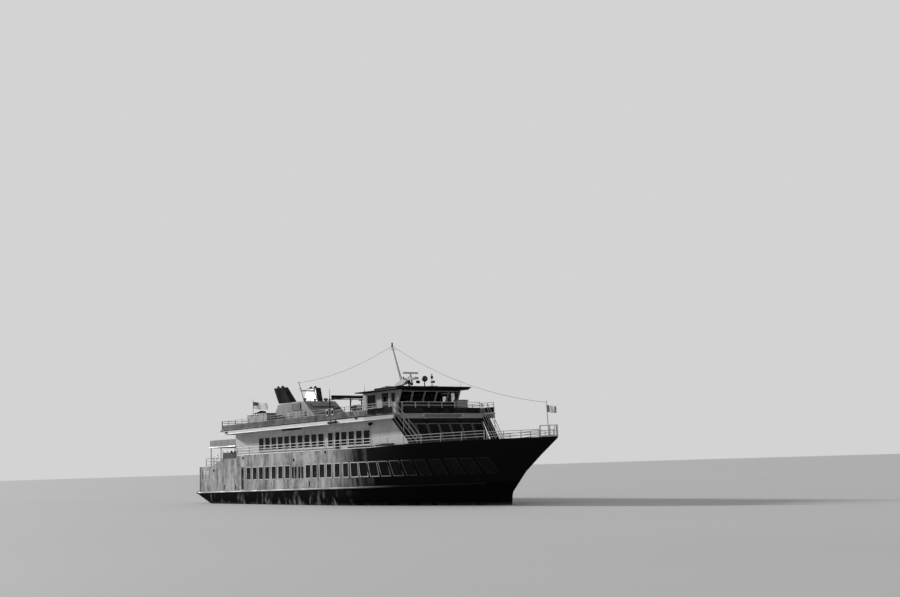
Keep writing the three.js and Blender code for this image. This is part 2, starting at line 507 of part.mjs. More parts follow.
const MAST = { top: [30.5, 0, 13.7], cap: 0.09, platform: 10.74 };
const SCANNER = { s: 33.3, z: 10.98, half: 0.78 };
const bracketOutline = [[31.1, 10.1], [32.4, 10.2], [33.0, 10.52], [34.25, 10.52], [34.25, MAST.platform],
  [32.3, MAST.platform], [31.1, 10.3]];
const MAST_POST = 0.12;
const aboveRoof = (s0, s1) => block([s0, s1], [-1, 1], [ROOF.low + TOUCH, 15]);
const mast = join(
  bar([32.75, 0, 9.0], MAST.top, 0.13, 0.05, 8).intersect(aboveRoof(28, 36)),
  bar([31.5, 0, 9.4], [31.5, 0, 10.2], 0.16, 0.16, 8).intersect(aboveRoof(28, 33)),
  bar([33.05, 0, 9.4], [33.05, 0, 10.6], MAST_POST, MAST_POST, 8).intersect(aboveRoof(28, 36)),
  sidePrism(bracketOutline, [-0.22, 0.22]),
  bar([MAST.top[0], 0, 13.6], [MAST.top[0], 0, 13.9], MAST.cap, MAST.cap, 8),
  bar([SCANNER.s, 0, MAST.platform - 0.05], [SCANNER.s, 0, SCANNER.z], 0.13, 0.1, 10));
piece('mast', mast, FINISH.white);

const scanner = join(
  bar([0, 0, 0], [0, 0, 0.1], 0.08, 0.08, 10),
  block([-0.07, 0.07], [-SCANNER.half, SCANNER.half], [0.08, 0.24]));
piece('radar_scanner', scanner, FINISH.white, [SCANNER.s, 0, SCANNER.z + TOUCH]);

const DOME = { s: 35.44, z: 10.48, radius: 0.25 };
const upright = new THREE.SphereGeometry(DOME.radius, 16, 10).rotateX(Math.PI / 2);
const ball = solid(upright.translate(DOME.s, 0, DOME.z));
const domePost = bar([DOME.s, 0, ROOF.high + TOUCH], [DOME.s, 0, DOME.z], 0.05);
piece('antenna_dome', join(domePost, ball), FINISH.white);
const HORN = { s: 36.55, top: 10.75 };
const hornPost = join(
  bar([HORN.s, 0, ROOF.high + TOUCH], [HORN.s, 0, HORN.top], 0.05),
  block([HORN.s - 0.15, HORN.s + 0.3], [-0.1, 0.1], [10.05, 10.2]),
  block([HORN.s - 0.15, HORN.s + 0.15], [-0.12, 0.12], [10.45, 10.6]));
piece('horn_post', hornPost, FINISH.white);

// Stairs from the third deck down to the foredeck, one each side, turned in to follow the bow

const STAIR = {
  s: 37.6, y: 4.62, turn: 0.22, run: 2.85, half: 0.31, treads: 9, stringer: 0.26, plate: 0.06, rail: 0.92 };
const stairHead = thirdDeck(stairHeadS) - 0.06;
const stairFoot = SECOND_DECK + TOUCH;
const stairSlope = (stairHead - stairFoot - STAIR.stringer) / STAIR.run;
const stairLine = (s) => stairHead - stairSlope * s;
const stairOutline = [[0, stairHead - STAIR.stringer], [STAIR.run - 0.2, stairFoot], [STAIR.run, stairFoot],
  [STAIR.run, stairFoot + STAIR.stringer], [0, stairHead]];
const handrail = (y) => join(
  sidePrism([[0, stairHead + STAIR.rail - 0.07], [STAIR.run, stairLine(STAIR.run) + STAIR.rail - 0.07],
    [STAIR.run, stairLine(STAIR.run) + STAIR.rail], [0, stairHead + STAIR.rail]], [y, y + BAR]),
  ...[0.02, STAIR.run / 2, STAIR.run - BAR].map((s) =>
    block([s, s + BAR], [y, y + BAR], [stairLine(s) - 0.15, stairLine(s) + STAIR.rail - 0.06])));
const treadPitch = (STAIR.run - 0.4) / STAIR.treads;
const stair = join(
  sidePrism(stairOutline, [-STAIR.half, STAIR.plate - STAIR.half]),
  sidePrism(stairOutline, [STAIR.half - STAIR.plate, STAIR.half]),
  handrail(0.005 - STAIR.half), handrail(STAIR.half - 0.055),
  ...Array.from({ length: STAIR.treads }, (_, i) => {
    const s = 0.06 + (i + 0.3) * treadPitch;
    const z = stairLine(s + 0.13) - 0.06;
    return block([s, s + 0.26], [0.02 - STAIR.half, STAIR.half - 0.02], [z - 0.04, z]);
  }));
pair('stair', stair, FINISH.steel, [STAIR.s, STAIR.y, 0], STAIR.turn);

// Rails: panels of posts and bars, straight or on the line of the hull's edge

/** Holes between the posts and bars of a rail, from s0 to s1, over a foot line and under a top line. */
function railHoles(s0, s1, bays, foot, heights) {
  const pitch = (s1 - s0 - BAR) / bays;
  const holes = [];
  for (let i = 0; i < bays; i += 1) {
    const left = s0 + BAR + pitch * i;
    const right = left + pitch - BAR;
    const base = Math.max(foot(left), foot(right));
    for (const [low, high] of heights) holes.push([left, right, base + low, base + high]);
  }
  return holes;
}

/** A straight rail along the boat, standing on a line that may rise forward. */
function longRail([s0, s1], y, bays, foot, height, gaps) {
  const points = [[s0, foot(s0)], [s1, foot(s1)], [s1, foot(s1) + height], [s0, foot(s0) + height]];
  return sidePrism(points, [y, y + BAR], railHoles(s0, s1, bays, foot, gaps));
}

/** A rail on the line of the hull's edge, a little inside it. */
function edgeRail(stations, inset, bays, foot, height, gaps, [low, high]) {
  const [s0, s1] = [stations[0], stations.at(-1)];
  const points = [...stations.map((s) => [s, foot(s)]), [s1, foot(s1) + height], [s0, foot(s0) + height]];
  return hullWall(points, [low, high], -inset, -inset - BAR, railHoles(s0, s1, bays, foot, gaps));
}

const sideTop = (s) => 4.7 + 0.06 * Math.max(0, s - 9.8) / 25.2 + TOUCH;
const sideRail = longRail([10.0, 35.0], -HALF_BEAM + 0.03, 10, sideTop, 0.79,
  [[0.03, 0.23], [0.28, 0.5], [0.55, 0.74]]);
pair('rail_side', sideRail, FINISH.white);

const bowTop = (s) => 5.0 + TOUCH + bowRise * (s - FOREPEAK);
const foreTop = (s) => (s < 40 ? 4.76 + 0.14 * (s - 35) / 5 : 4.9 + 0.1 * (s - 40) / (FOREPEAK - 40)) + TOUCH;
const bowLevels = [4.7, 6.3];
const foreGaps = [[0.06, 0.2], [0.26, 0.4], [0.46, 0.6]];
const bowGaps = [[0.04, 0.16], [0.21, 0.33], [0.38, 0.5]];
const railFore = edgeRail([35.1, 40, FOREPEAK + 0.05], 0.03, 5, foreTop, 0.68, foreGaps, bowLevels);
const railBow = edgeRail([FOREPEAK, 51.3], 0.03, 3, bowTop, 0.56, bowGaps, bowLevels);
pair('rail_bow', join(railFore, railBow), FINISH.white);

const THIRD_RAIL = { height: 0.95, gaps: [[0.06, 0.3], [0.35, 0.6], [0.65, 0.9]], inset: 0.01, panel: 0.42 };
const wingEnd = WING.fore - 0.05;
const railPlane = [-WING.half + THIRD_RAIL.inset, -WING.half + THIRD_RAIL.inset + BAR];
const railThird = longRail([6.3, wingEnd], railPlane[0], 13, onThird, THIRD_RAIL.height, THIRD_RAIL.gaps);
const wingPanel = sidePrism([[37.2, onThird(37.2)], [wingEnd, onThird(wingEnd)],
  [wingEnd, onThird(wingEnd) + THIRD_RAIL.panel], [37.2, onThird(37.2) + THIRD_RAIL.panel]], railPlane);
pair('rail_third', join(railThird, wingPanel), FINISH.white);

const aftRailHalf = THIRD.half - 0.1;
const aftRailFoot = onThird(6.45);
const railThirdAft = endPrism(
  [[-aftRailHalf, aftRailFoot], [aftRailHalf, aftRailFoot],
    [aftRailHalf, aftRailFoot + THIRD_RAIL.height], [-aftRailHalf, aftRailFoot + THIRD_RAIL.height]],
  [6.36, 6.36 + BAR], railHoles(-aftRailHalf, aftRailHalf, 5, () => aftRailFoot, THIRD_RAIL.gaps));
piece('rail_third_aft', railThirdAft, FINISH.white);

const frontHalf = 3.95;
const frontBase = onThird(37.95);
const frontTop = frontBase + THIRD_RAIL.height;
const railThirdFront = endPrism(
  [[-frontHalf, frontBase], [frontHalf, frontBase], [frontHalf, frontTop], [-frontHalf, frontTop]],
  [37.88, 37.88 + BAR], railHoles(-frontHalf, frontHalf, 5, () => frontBase, [[0.45, 0.64], [0.69, 0.9]]));
piece('rail_third_front', railThirdFront, FINISH.canvas);

const RAMP = { aft: 4.2, fore: 6.67, rail: 0.85, gaps: [[0.1, 0.3], [0.36, 0.56], [0.62, 0.8]] };
const rampFoot = (s) => 3.76 + (s - 4.1) * 0.69 / 2.57 + TOUCH * 2;
const rampRail = longRail([RAMP.aft, RAMP.fore], -HALF_BEAM + 0.03, 1, rampFoot, RAMP.rail, []);
const [gapAft, gapFore] = [RAMP.aft + BAR, RAMP.fore - 0.12];
const rampHoles = RAMP.gaps.map(([low, high]) => sidePrism([
  [gapAft, rampFoot(gapAft) + low], [gapFore, rampFoot(gapFore) + low],
  [gapFore, rampFoot(gapFore) + high], [gapAft, rampFoot(gapAft) + high]], [-6, -4]));
const quarterTop = () => 4.45 + TOUCH * 2;
const quarterRail = longRail([6.55, 9.75], -HALF_BEAM + 0.03, 1, quarterTop, 0.76, [[0.6, 0.71]]);
pair('rail_quarter', join(cut(rampRail, ...rampHoles), quarterRail), FINISH.hullGrey);

const STERN_RAIL = {
  s: SHELL_AFT + 0.15, half: 4.7, top: 4.6, gaps: [[0.05, 0.3], [0.35, 0.6], [0.65, 0.9]] };
const sternFoot = () => LOWER_DECK + TOUCH;
const sternRail = endPrism(
  [[-STERN_RAIL.half, sternFoot()], [STERN_RAIL.half, sternFoot()],
    [STERN_RAIL.half, STERN_RAIL.top], [-STERN_RAIL.half, STERN_RAIL.top]],
  [STERN_RAIL.s, STERN_RAIL.s + BAR],
  railHoles(-STERN_RAIL.half, STERN_RAIL.half, 4, sternFoot, STERN_RAIL.gaps));
const lowerRail = longRail([STERN_RAIL.s, 4.1], -STERN_RAIL.half, 1, sternFoot,
  STERN_RAIL.top - sternFoot(), STERN_RAIL.gaps);
piece('rail_stern', join(sternRail, lowerRail, toPort(lowerRail)), FINISH.white);

// Doors: boarding leaves and saloon doors in the shell, pilothouse doors

const KNUCKLE = { radius: SWING - TOUCH, height: 0.16, places: [0.14, 0.5, 0.86] };

/** A flat leaf with its hinge edge at s = 0 and its outer face at y = 0, with lights and hinge knuckles. */
function leaf(width, height, thickness, lights) {
  const panel = sidePrism([[0, 0], [width, 0], [width, height], [0, height]], [0, thickness], lights);
  const knuckles = KNUCKLE.places.map((share) => {
    const low = share * height - KNUCKLE.height / 2;
    return bar([0, 0, low], [0, 0, low + KNUCKLE.height], KNUCKLE.radius, KNUCKLE.radius, 12);
  });
  return join(panel, ...knuckles);
}

const boardingWidth = (BOARDING.s1 - BOARDING.s0) / 2 - 1.5 * SWING;
const boardingHeight = BOARDING.z1 - BOARDING.z0 - 2 * SWING;
const boardingLights = [[0.18, 0.54, 0.85, 1.9], [0.72, 1.08, 0.85, 1.9]];
const boardingLeaf = leaf(boardingWidth, boardingHeight, 0.06, boardingLights);
const boardingAft = [BOARDING.s0 + SWING, HALF_BEAM, BOARDING.z0 + SWING];
const boardingFore = [BOARDING.s1 - SWING, HALF_BEAM, BOARDING.z0 + SWING];
pair('boarding_door_aft', boardingLeaf, FINISH.hullGrey, boardingAft);
pair('boarding_door_fore', boardingLeaf.mirror([1, 0, 0]), FINISH.hullGrey, boardingFore);

const sideDoor = leaf(SIDE_DOOR.s1 - SIDE_DOOR.s0 - 2 * SWING, SIDE_DOOR.z1 - SIDE_DOOR.z0 - 2 * SWING, 0.06,
  [[0.14, 0.44, 1.2, 1.8]]);
pair('side_door', sideDoor, FINISH.hullBlack, [SIDE_DOOR.s0 + SWING, HALF_BEAM, SIDE_DOOR.z0 + SWING]);

const pilotDoor = leaf(PILOT_DOOR.s1 - PILOT_DOOR.s0 - 2 * SWING, PILOT_DOOR.z1 - doorSill - 2 * SWING, 0.05,
  [[0.2, 0.77, 0.95, 1.55]]);
pair('pilothouse_door', pilotDoor.mirror([1, 0, 0]), FINISH.white,
  [PILOT_DOOR.s1 - SWING, PILOT.half, doorSill + SWING]);

// Propellers, shafts with their struts, and rudders

const HUB_LENGTH = 0.34;

/** A propeller turning about an axis along the boat, its hub running forward from 0. */
function propeller(blades, radius) {
  const hub = bar([0, 0, 0], [HUB_LENGTH, 0, 0], 0.13, 0.13, 12);
  const bladeOutline = [[-0.1, 0.05], [0.1, 0.05], [0.21, 0.3], [0.2, 0.48],
    [0.08, radius], [-0.08, radius], [-0.2, 0.48], [-0.21, 0.3]];
  const whole = [hub];
  for (let i = 0; i < blades; i += 1) {
    const shape = new THREE.ExtrudeGeometry(outline(bladeOutline), { depth: 0.035, bevelEnabled: false });
    shape.translate(0, 0, -0.0175).rotateY(Math.PI * 0.3).translate(HUB_LENGTH / 2, 0, 0);
    whole.push(solid(shape.rotateX(2 * Math.PI * i / blades)));
  }
  return join(...whole);
}

pair('propeller', propeller(4, 0.6), FINISH.bronze, [SHAFT.aft - HUB_LENGTH - TOUCH, SHAFT.y, SHAFT.z]);

const rudderSide = [[RUDDER.ahead * 0.5, RUDDER.half], [-0.1, RUDDER.half], [-RUDDER.behind, 0.015]];
const rudderOutline = [[RUDDER.ahead, 0], ...rudderSide, ...rudderSide.map(([s, y]) => [s, -y]).reverse()];
const rudder = join(
  planPrism(rudderOutline, [RUDDER.bottom, RUDDER.top - 0.1]),
  bar([0, 0, RUDDER.top - 0.2], [0, 0, RUDDER.top - TOUCH], RUDDER.radius, RUDDER.radius, 10));
pair('rudder', rudder, FINISH.hullBlack, [RUDDER.stock, SHAFT.y, 0]);

// Jackstaff, dressing lines and the bow platform

const PULPIT = { aft: 51.4, thick: 0.06, height: 0.85, post: 0.05, side: 52.05, end: 53 };
const pulpitBase = bowTop(LENGTH) + 0.002;
const pulpitPlate = hullForm(4.5, 5.9, 0.04).intersect(
  block([PULPIT.aft, PULPIT.end], [-2, 2], [pulpitBase, pulpitBase + PULPIT.thick]));
const pulpitOutline = [[PULPIT.aft, pulpitBase], [PULPIT.end, pulpitBase],
  [PULPIT.end, pulpitBase + PULPIT.height], [PULPIT.aft, pulpitBase + PULPIT.height]];
const pulpitBays = [[PULPIT.aft + PULPIT.post, PULPIT.side], [PULPIT.side + PULPIT.post, 52.5]];
const pulpitHoles = pulpitBays.flatMap(([s0, s1]) =>
  [[0.1, 0.42], [0.47, 0.79]].map(([low, high]) => [s0, s1, pulpitBase + low, pulpitBase + high]));
const pulpitRim = cut(hullForm(4.5, 6.3, 0.02), hullForm(4.4, 6.35, -PULPIT.post + 0.02)).intersect(
  sidePrism(pulpitOutline, WIDE, pulpitHoles));
piece('bow_pulpit', join(pulpitPlate, pulpitRim), FINISH.white);

const JACK = { top: [51.44, 0, 7.62], radius: 0.05, tip: 0.03 };
const jackFoot = pulpitBase + PULPIT.thick + TOUCH;
const jackRoot = [51.57, 0, pulpitBase - 0.4];
const jackFlag = sidePrism([[51.49, 6.84], [52.45, 6.8], [52.45, 7.28], [51.47, 7.36]], [-0.01, 0.01]);
const jackPole = cut(bar(jackRoot, JACK.top, JACK.radius, JACK.tip), block([50, 53], [-1, 1], [4, jackFoot]));
piece('jackstaff', join(jackPole, jackFlag), FINISH.white);

/** A sagging line between two points, as a thin bar in a few straight runs. */
function sagLine(from, to, sag, runs, radius) {
  const point = (share) => [0, 1, 2].map((axis) =>
    from[axis] + (to[axis] - from[axis]) * share - (axis === 2 ? 4 * sag * share * (1 - share) : 0));
  const parts = [];
  for (let i = 0; i < runs; i += 1) {
    const overlap = i + 1 < runs ? 0.002 : 0;
    parts.push(bar(point(i / runs), point((i + 1) / runs + overlap), radius, radius, 4));
  }
  return join(...parts);
}

const LINE = { radius: 0.02, foreSag: 0.9, aftSag: 0.55 };
const masthead = [MAST.top[0], 0, 13.75];
const frameHead = [FRAME.topS, -FRAME.half, FRAME.top];
const nearCap = bar([masthead[0], 0, 13.5], [masthead[0], 0, 14], MAST.cap + TOUCH, MAST.cap + TOUCH, 8);
const nearStaff = bar(jackRoot, JACK.top, JACK.radius + TOUCH, JACK.tip + TOUCH);
const nearFrame = frameKnob(0.08 + TOUCH, 0.06 + TOUCH, FRAME.knob + TOUCH);
const foreLine = sagLine(masthead, [JACK.top[0], 0, JACK.top[2] - 0.06], LINE.foreSag, 6, LINE.radius);
const aftLine = sagLine(masthead, frameHead, LINE.aftSag, 5, LINE.radius);
piece('dressing_line_fore', cut(foreLine, nearCap, nearStaff), FINISH.canvas);
piece('dressing_line_aft', cut(aftLine, nearCap, nearFrame), FINISH.canvas);

// Half-size model in millimetres

const model = new THREE.Group();
model.scale.setScalar(MODEL_MM_PER_METRE);
model.add(boat);

export default model;
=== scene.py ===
"""Looks of a three-deck excursion boat, a scale model at half size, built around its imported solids.

Sizes and places are the real boat's, in metres: s runs forward from the stern, y to port from the
centreline and z up from the waterline. SubAssembly.finish turns each piece into the model's own frame.
"""

from __future__ import annotations

import json
import logging
import math
from dataclasses import dataclass, field
from enum import Enum
from typing import Callable, Iterable, Sequence

import bpy
from mathutils import Matrix, Vector
from mathutils.bvhtree import BVHTree

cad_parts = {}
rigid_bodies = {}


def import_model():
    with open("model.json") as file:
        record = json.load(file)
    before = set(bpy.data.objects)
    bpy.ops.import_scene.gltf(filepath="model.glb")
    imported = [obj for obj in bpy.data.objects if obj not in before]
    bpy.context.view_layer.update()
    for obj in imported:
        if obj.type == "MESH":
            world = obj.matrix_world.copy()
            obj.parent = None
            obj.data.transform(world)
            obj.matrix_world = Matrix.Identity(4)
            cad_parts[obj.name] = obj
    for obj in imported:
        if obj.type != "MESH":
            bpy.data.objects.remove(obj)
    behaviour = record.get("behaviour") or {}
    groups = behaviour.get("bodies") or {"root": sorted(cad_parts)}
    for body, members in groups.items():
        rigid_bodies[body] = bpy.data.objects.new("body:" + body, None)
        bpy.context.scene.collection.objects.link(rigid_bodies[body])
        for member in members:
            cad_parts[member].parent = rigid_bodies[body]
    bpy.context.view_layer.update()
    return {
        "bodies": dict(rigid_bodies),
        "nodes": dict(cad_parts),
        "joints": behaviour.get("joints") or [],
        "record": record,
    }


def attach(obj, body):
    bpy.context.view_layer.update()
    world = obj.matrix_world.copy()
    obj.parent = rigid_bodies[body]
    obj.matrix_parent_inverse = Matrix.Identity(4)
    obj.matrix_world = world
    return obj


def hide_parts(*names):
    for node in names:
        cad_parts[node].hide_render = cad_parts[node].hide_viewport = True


LOG = logging.getLogger("excursion_boat")

MODEL_SCALE = 0.5
LENGTH = 52.6
MIDSHIP = LENGTH / 2
HALF_BEAM = 5.18
SECOND_DECK = 4.32
LOWER_DECK = 3.6
THIRD_DECK_AFT = 7.24
SHEER_THIRD = 0.005
MAIN_DECK_AFT = 1.14
SHEER_MAIN = 0.0136
PILOTHOUSE_HALF = 3.07
FRONT_PANE_PITCH = 1.21
TO_MODEL = Matrix.Scale(MODEL_SCALE, 4) @ Matrix.Translation((-MIDSHIP, 0.0, 0.0))
TO_REAL = TO_MODEL.inverted()

Point = tuple[float, float, float]
Hole = tuple[float, float, float, float]
Place = Sequence[float]
Curve = Callable[[float], float]
Piece = bpy.types.Object
Paint = bpy.types.Material
Socket = bpy.types.NodeSocket
Nodes = dict[str, Piece]


def main_deck(s: float) -> float:
    """Height of the main deck at a place along the boat."""
    return MAIN_DECK_AFT + SHEER_MAIN * s


def third_deck(s: float) -> float:
    """Height of the third deck at a place along the boat."""
    return THIRD_DECK_AFT + SHEER_THIRD * s


def cap_height(s: float) -> float:
    """Height of the shell's top edge, which bends up twice towards the bow.

    Args:
        s: Place along the boat.

    Returns:
        The height.
    """
    if s < 35.0:
        return 4.7 + 0.06 * max(0.0, s - 9.8) / 25.2
    return 4.76 + 0.14 * (s - 35.0) / 5.0 if s < 40.0 else 4.9 + 0.1 * (s - 40.0) / 7.3


def model_x(s: float) -> float:
    """Place along the model for a place along the real boat."""
    return (s - MIDSHIP) * MODEL_SCALE


class Side(Enum):
    """The two sides of the boat, with the sign of y there."""

    STBD = -1
    PORT = 1

    @property
    def label(self) -> str:
        """The side's name as the solids use it."""
        return self.name.lower()


class Slot(Enum):
    """The record's material slots."""

    HULL_BLACK = "hull_black"
    HULL_GREY = "hull_grey"
    WHITE = "white_paint"
    DECK = "deck_paint"
    FUNNEL = "funnel_paint"
    CANVAS = "canvas"
    BRONZE = "bronze"
    STEEL = "steel"


# Finishes


class Shader:
    """A material under construction, whose nodes are wired by short calls."""

    def __init__(self, name: str, blend_alpha: bool = False) -> None:
        """Starts a node material.

        Args:
            name: Name of the material.
            blend_alpha: True where the surface lets light through.
        """
        self.material = bpy.data.materials.new(name)
        self.material.use_nodes = True
        self.tree = self.material.node_tree
        self.tree.nodes.clear()
        self.output = self.node("ShaderNodeOutputMaterial")
        self.surface = self.node("ShaderNodeBsdfPrincipled")
        self.link(self.surface.outputs["BSDF"], self.output.inputs["Surface"])
        self.place = self.node("ShaderNodeTexCoord").outputs["Object"]
        if blend_alpha:
            self.material.surface_render_method = "BLENDED"

    def node(self, kind: str, **settings: object) -> bpy.types.Node:
        """Adds one node and sets its properties.

        Args:
            kind: The node's type.
            settings: Its properties by name.

        Returns:
            The node.
        """
        made = self.tree.nodes.new(kind)
        for key, value in settings.items():
            setattr(made, key, value)
        return made

    def link(self, source: Socket, target: Socket) -> None:
        """Joins two sockets."""
        self.tree.links.new(source, target)

    def feed(self, target: Socket, value: object) -> None:
        """Gives a socket a link or a plain value.

        Args:
            target: The socket.
            value: A socket to link it to, or the value.
        """
        if isinstance(value, Socket):
            self.link(value, target)
        else:
            target.default_value = value

    def set(self, **inputs: object) -> None:
        """Feeds inputs of the surface, named with underscores for spaces."""
        for key, value in inputs.items():
            self.feed(self.surface.inputs[key.replace("_", " ")], value)

    def stretched(self, scale: Point) -> Socket:
        """Object coordinates, multiplied along each axis.

        Args:
            scale: What they are multiplied by.

        Returns:
            The coordinates.
        """
        mapping = self.node("ShaderNodeMapping")
        mapping.inputs["Scale"].default_value = scale
        self.link(self.place, mapping.inputs["Vector"])
        return mapping.outputs["Vector"]

    def noise(
        self, scale: float, detail: float = 4.0, stretch: Point = (1, 1, 1), rough: float = 0.55,
    ) -> Socket:
        """A cloudy pattern from 0 to 1.

        Args:
            scale: How fine it is.
            detail: How many finer patterns are added.
            stretch: How it is squeezed along each axis.
            rough: How strong the finer ones are.

        Returns:
            The pattern.
        """
        made = self.node("ShaderNodeTexNoise")
        self.link(self.stretched(stretch), made.inputs["Vector"])
        made.inputs["Scale"].default_value = scale
        made.inputs["Detail"].default_value = detail
        made.inputs["Roughness"].default_value = rough
        return made.outputs["Fac"]

    def level(
        self, value: object, low: float, high: float, to_low: float = 0.0, to_high: float = 1.0,
    ) -> Socket:
        """A value moved smoothly from one range to another, held at its ends.

        Args:
            value: The value.
            low: Start of the first range.
            high: Its end.
            to_low: Start of the second range.
            to_high: Its end.

        Returns:
            The moved value.
        """
        made = self.node("ShaderNodeMapRange", interpolation_type="SMOOTHSTEP")
        self.feed(made.inputs["Value"], value)
        made.inputs["From Min"].default_value = low
        made.inputs["From Max"].default_value = high
        made.inputs["To Min"].default_value = to_low
        made.inputs["To Max"].default_value = to_high
        return made.outputs["Result"]

    def math(self, operation: str, first: object, second: object = 0.0) -> Socket:
        """One sum on two values.

        Args:
            operation: The kind of sum.
            first: The first value.
            second: The second.

        Returns:
            What it comes to.
        """
        made = self.node("ShaderNodeMath", operation=operation)
        self.feed(made.inputs[0], first)
        self.feed(made.inputs[1], second)
        return made.outputs[0]

    def axis(self, name: str) -> Socket:
        """One of the object's coordinates.

        Args:
            name: X, Y or Z.

        Returns:
            The coordinate.
        """
        made = self.node("ShaderNodeSeparateXYZ")
        self.link(self.place, made.inputs[0])
        return made.outputs[name]

    def mix(self, share: object, first: object, second: object) -> Socket:
        """A colour between two others.

        Args:
            share: Share of the second.
            first: The first colour.
            second: The second colour.

        Returns:
            The colour.
        """
        made = self.node("ShaderNodeMix", data_type="RGBA")
        self.feed(made.inputs["Factor"], share)
        self.feed(made.inputs["A"], tone(first))
        self.feed(made.inputs["B"], tone(second))
        return made.outputs["Result"]

    def bump(self, height: object, strength: float, distance: float) -> None:
        """Gives the surface a relief.

        Args:
            height: The pattern that is raised.
            strength: How strongly.
            distance: How far.
        """
        made = self.node("ShaderNodeBump")
        made.inputs["Strength"].default_value = strength
        made.inputs["Distance"].default_value = distance
        self.feed(made.inputs["Height"], height)
        self.link(made.outputs["Normal"], self.surface.inputs["Normal"])


def tone(value: object) -> object:
    """A grey level as a colour; a colour or a socket stays as it is.

    Args:
        value: The grey level, colour or socket.

    Returns:
        The colour or socket.
    """
    if isinstance(value, (int, float)):
        return (value, value, value, 1.0)
    if isinstance(value, tuple) and len(value) == 3:
        return (*value, 1.0)
    return value


@dataclass(frozen=True)
class WornPaint:
    """Ship's paint with clouded tone, vertical rain streaks, dirt and a slight orange-peel relief."""

    name: str
    base: float
    dirt: float
    streak: float = 0.35
    streak_pitch: float = 9.0
    cloud: float = 0.3
    roughness: float = 0.42
    relief: float = 0.06
    warmth: float = 0.0
    gloss: float = 0.2
    fades: tuple[float, float] | None = None
    faded: float = 0.02

    def build(self) -> Paint:
        """Makes the material; where a span is given, it darkens forward between two places along the boat,
        which on the strake and the window frames is painted shade towards the bow.

        Returns:
            The material.
        """
        shader = Shader(self.name)
        tint = (self.base * (1 + self.warmth), self.base, self.base * (1 - self.warmth))
        clouds = shader.noise(1.1, 6.0)
        runs = shader.noise(self.streak_pitch, 5.0, (1.0, 1.0, 0.06), 0.6)
        fine = shader.noise(60.0, 3.0)
        clouded = shader.mix(shader.level(clouds, 0.35, 0.72, 0.0, self.cloud), tint, self.dirt)
        streaked = shader.mix(shader.level(runs, 0.48, 0.72, 0.0, self.streak), clouded, self.dirt)
        colour = shader.mix(shader.level(fine, 0.55, 0.75, 0.0, 0.12), streaked, self.dirt)
        # Darkening forward: painted shade on the strake and the window frames, where the bow turns away from
        # the sun.
        if self.fades:
            start, end = (model_x(s) for s in self.fades)
            colour = shader.mix(shader.level(shader.axis("X"), start, end), colour, self.faded)
        shader.set(
            Base_Color=colour,
            Roughness=shader.level(clouds, 0.3, 0.7, self.roughness - 0.08, self.roughness + 0.14),
            Specular_IOR_Level=self.gloss,
        )
        shader.bump(shader.noise(38.0, 3.0), self.relief, 0.004)
        return shader.material


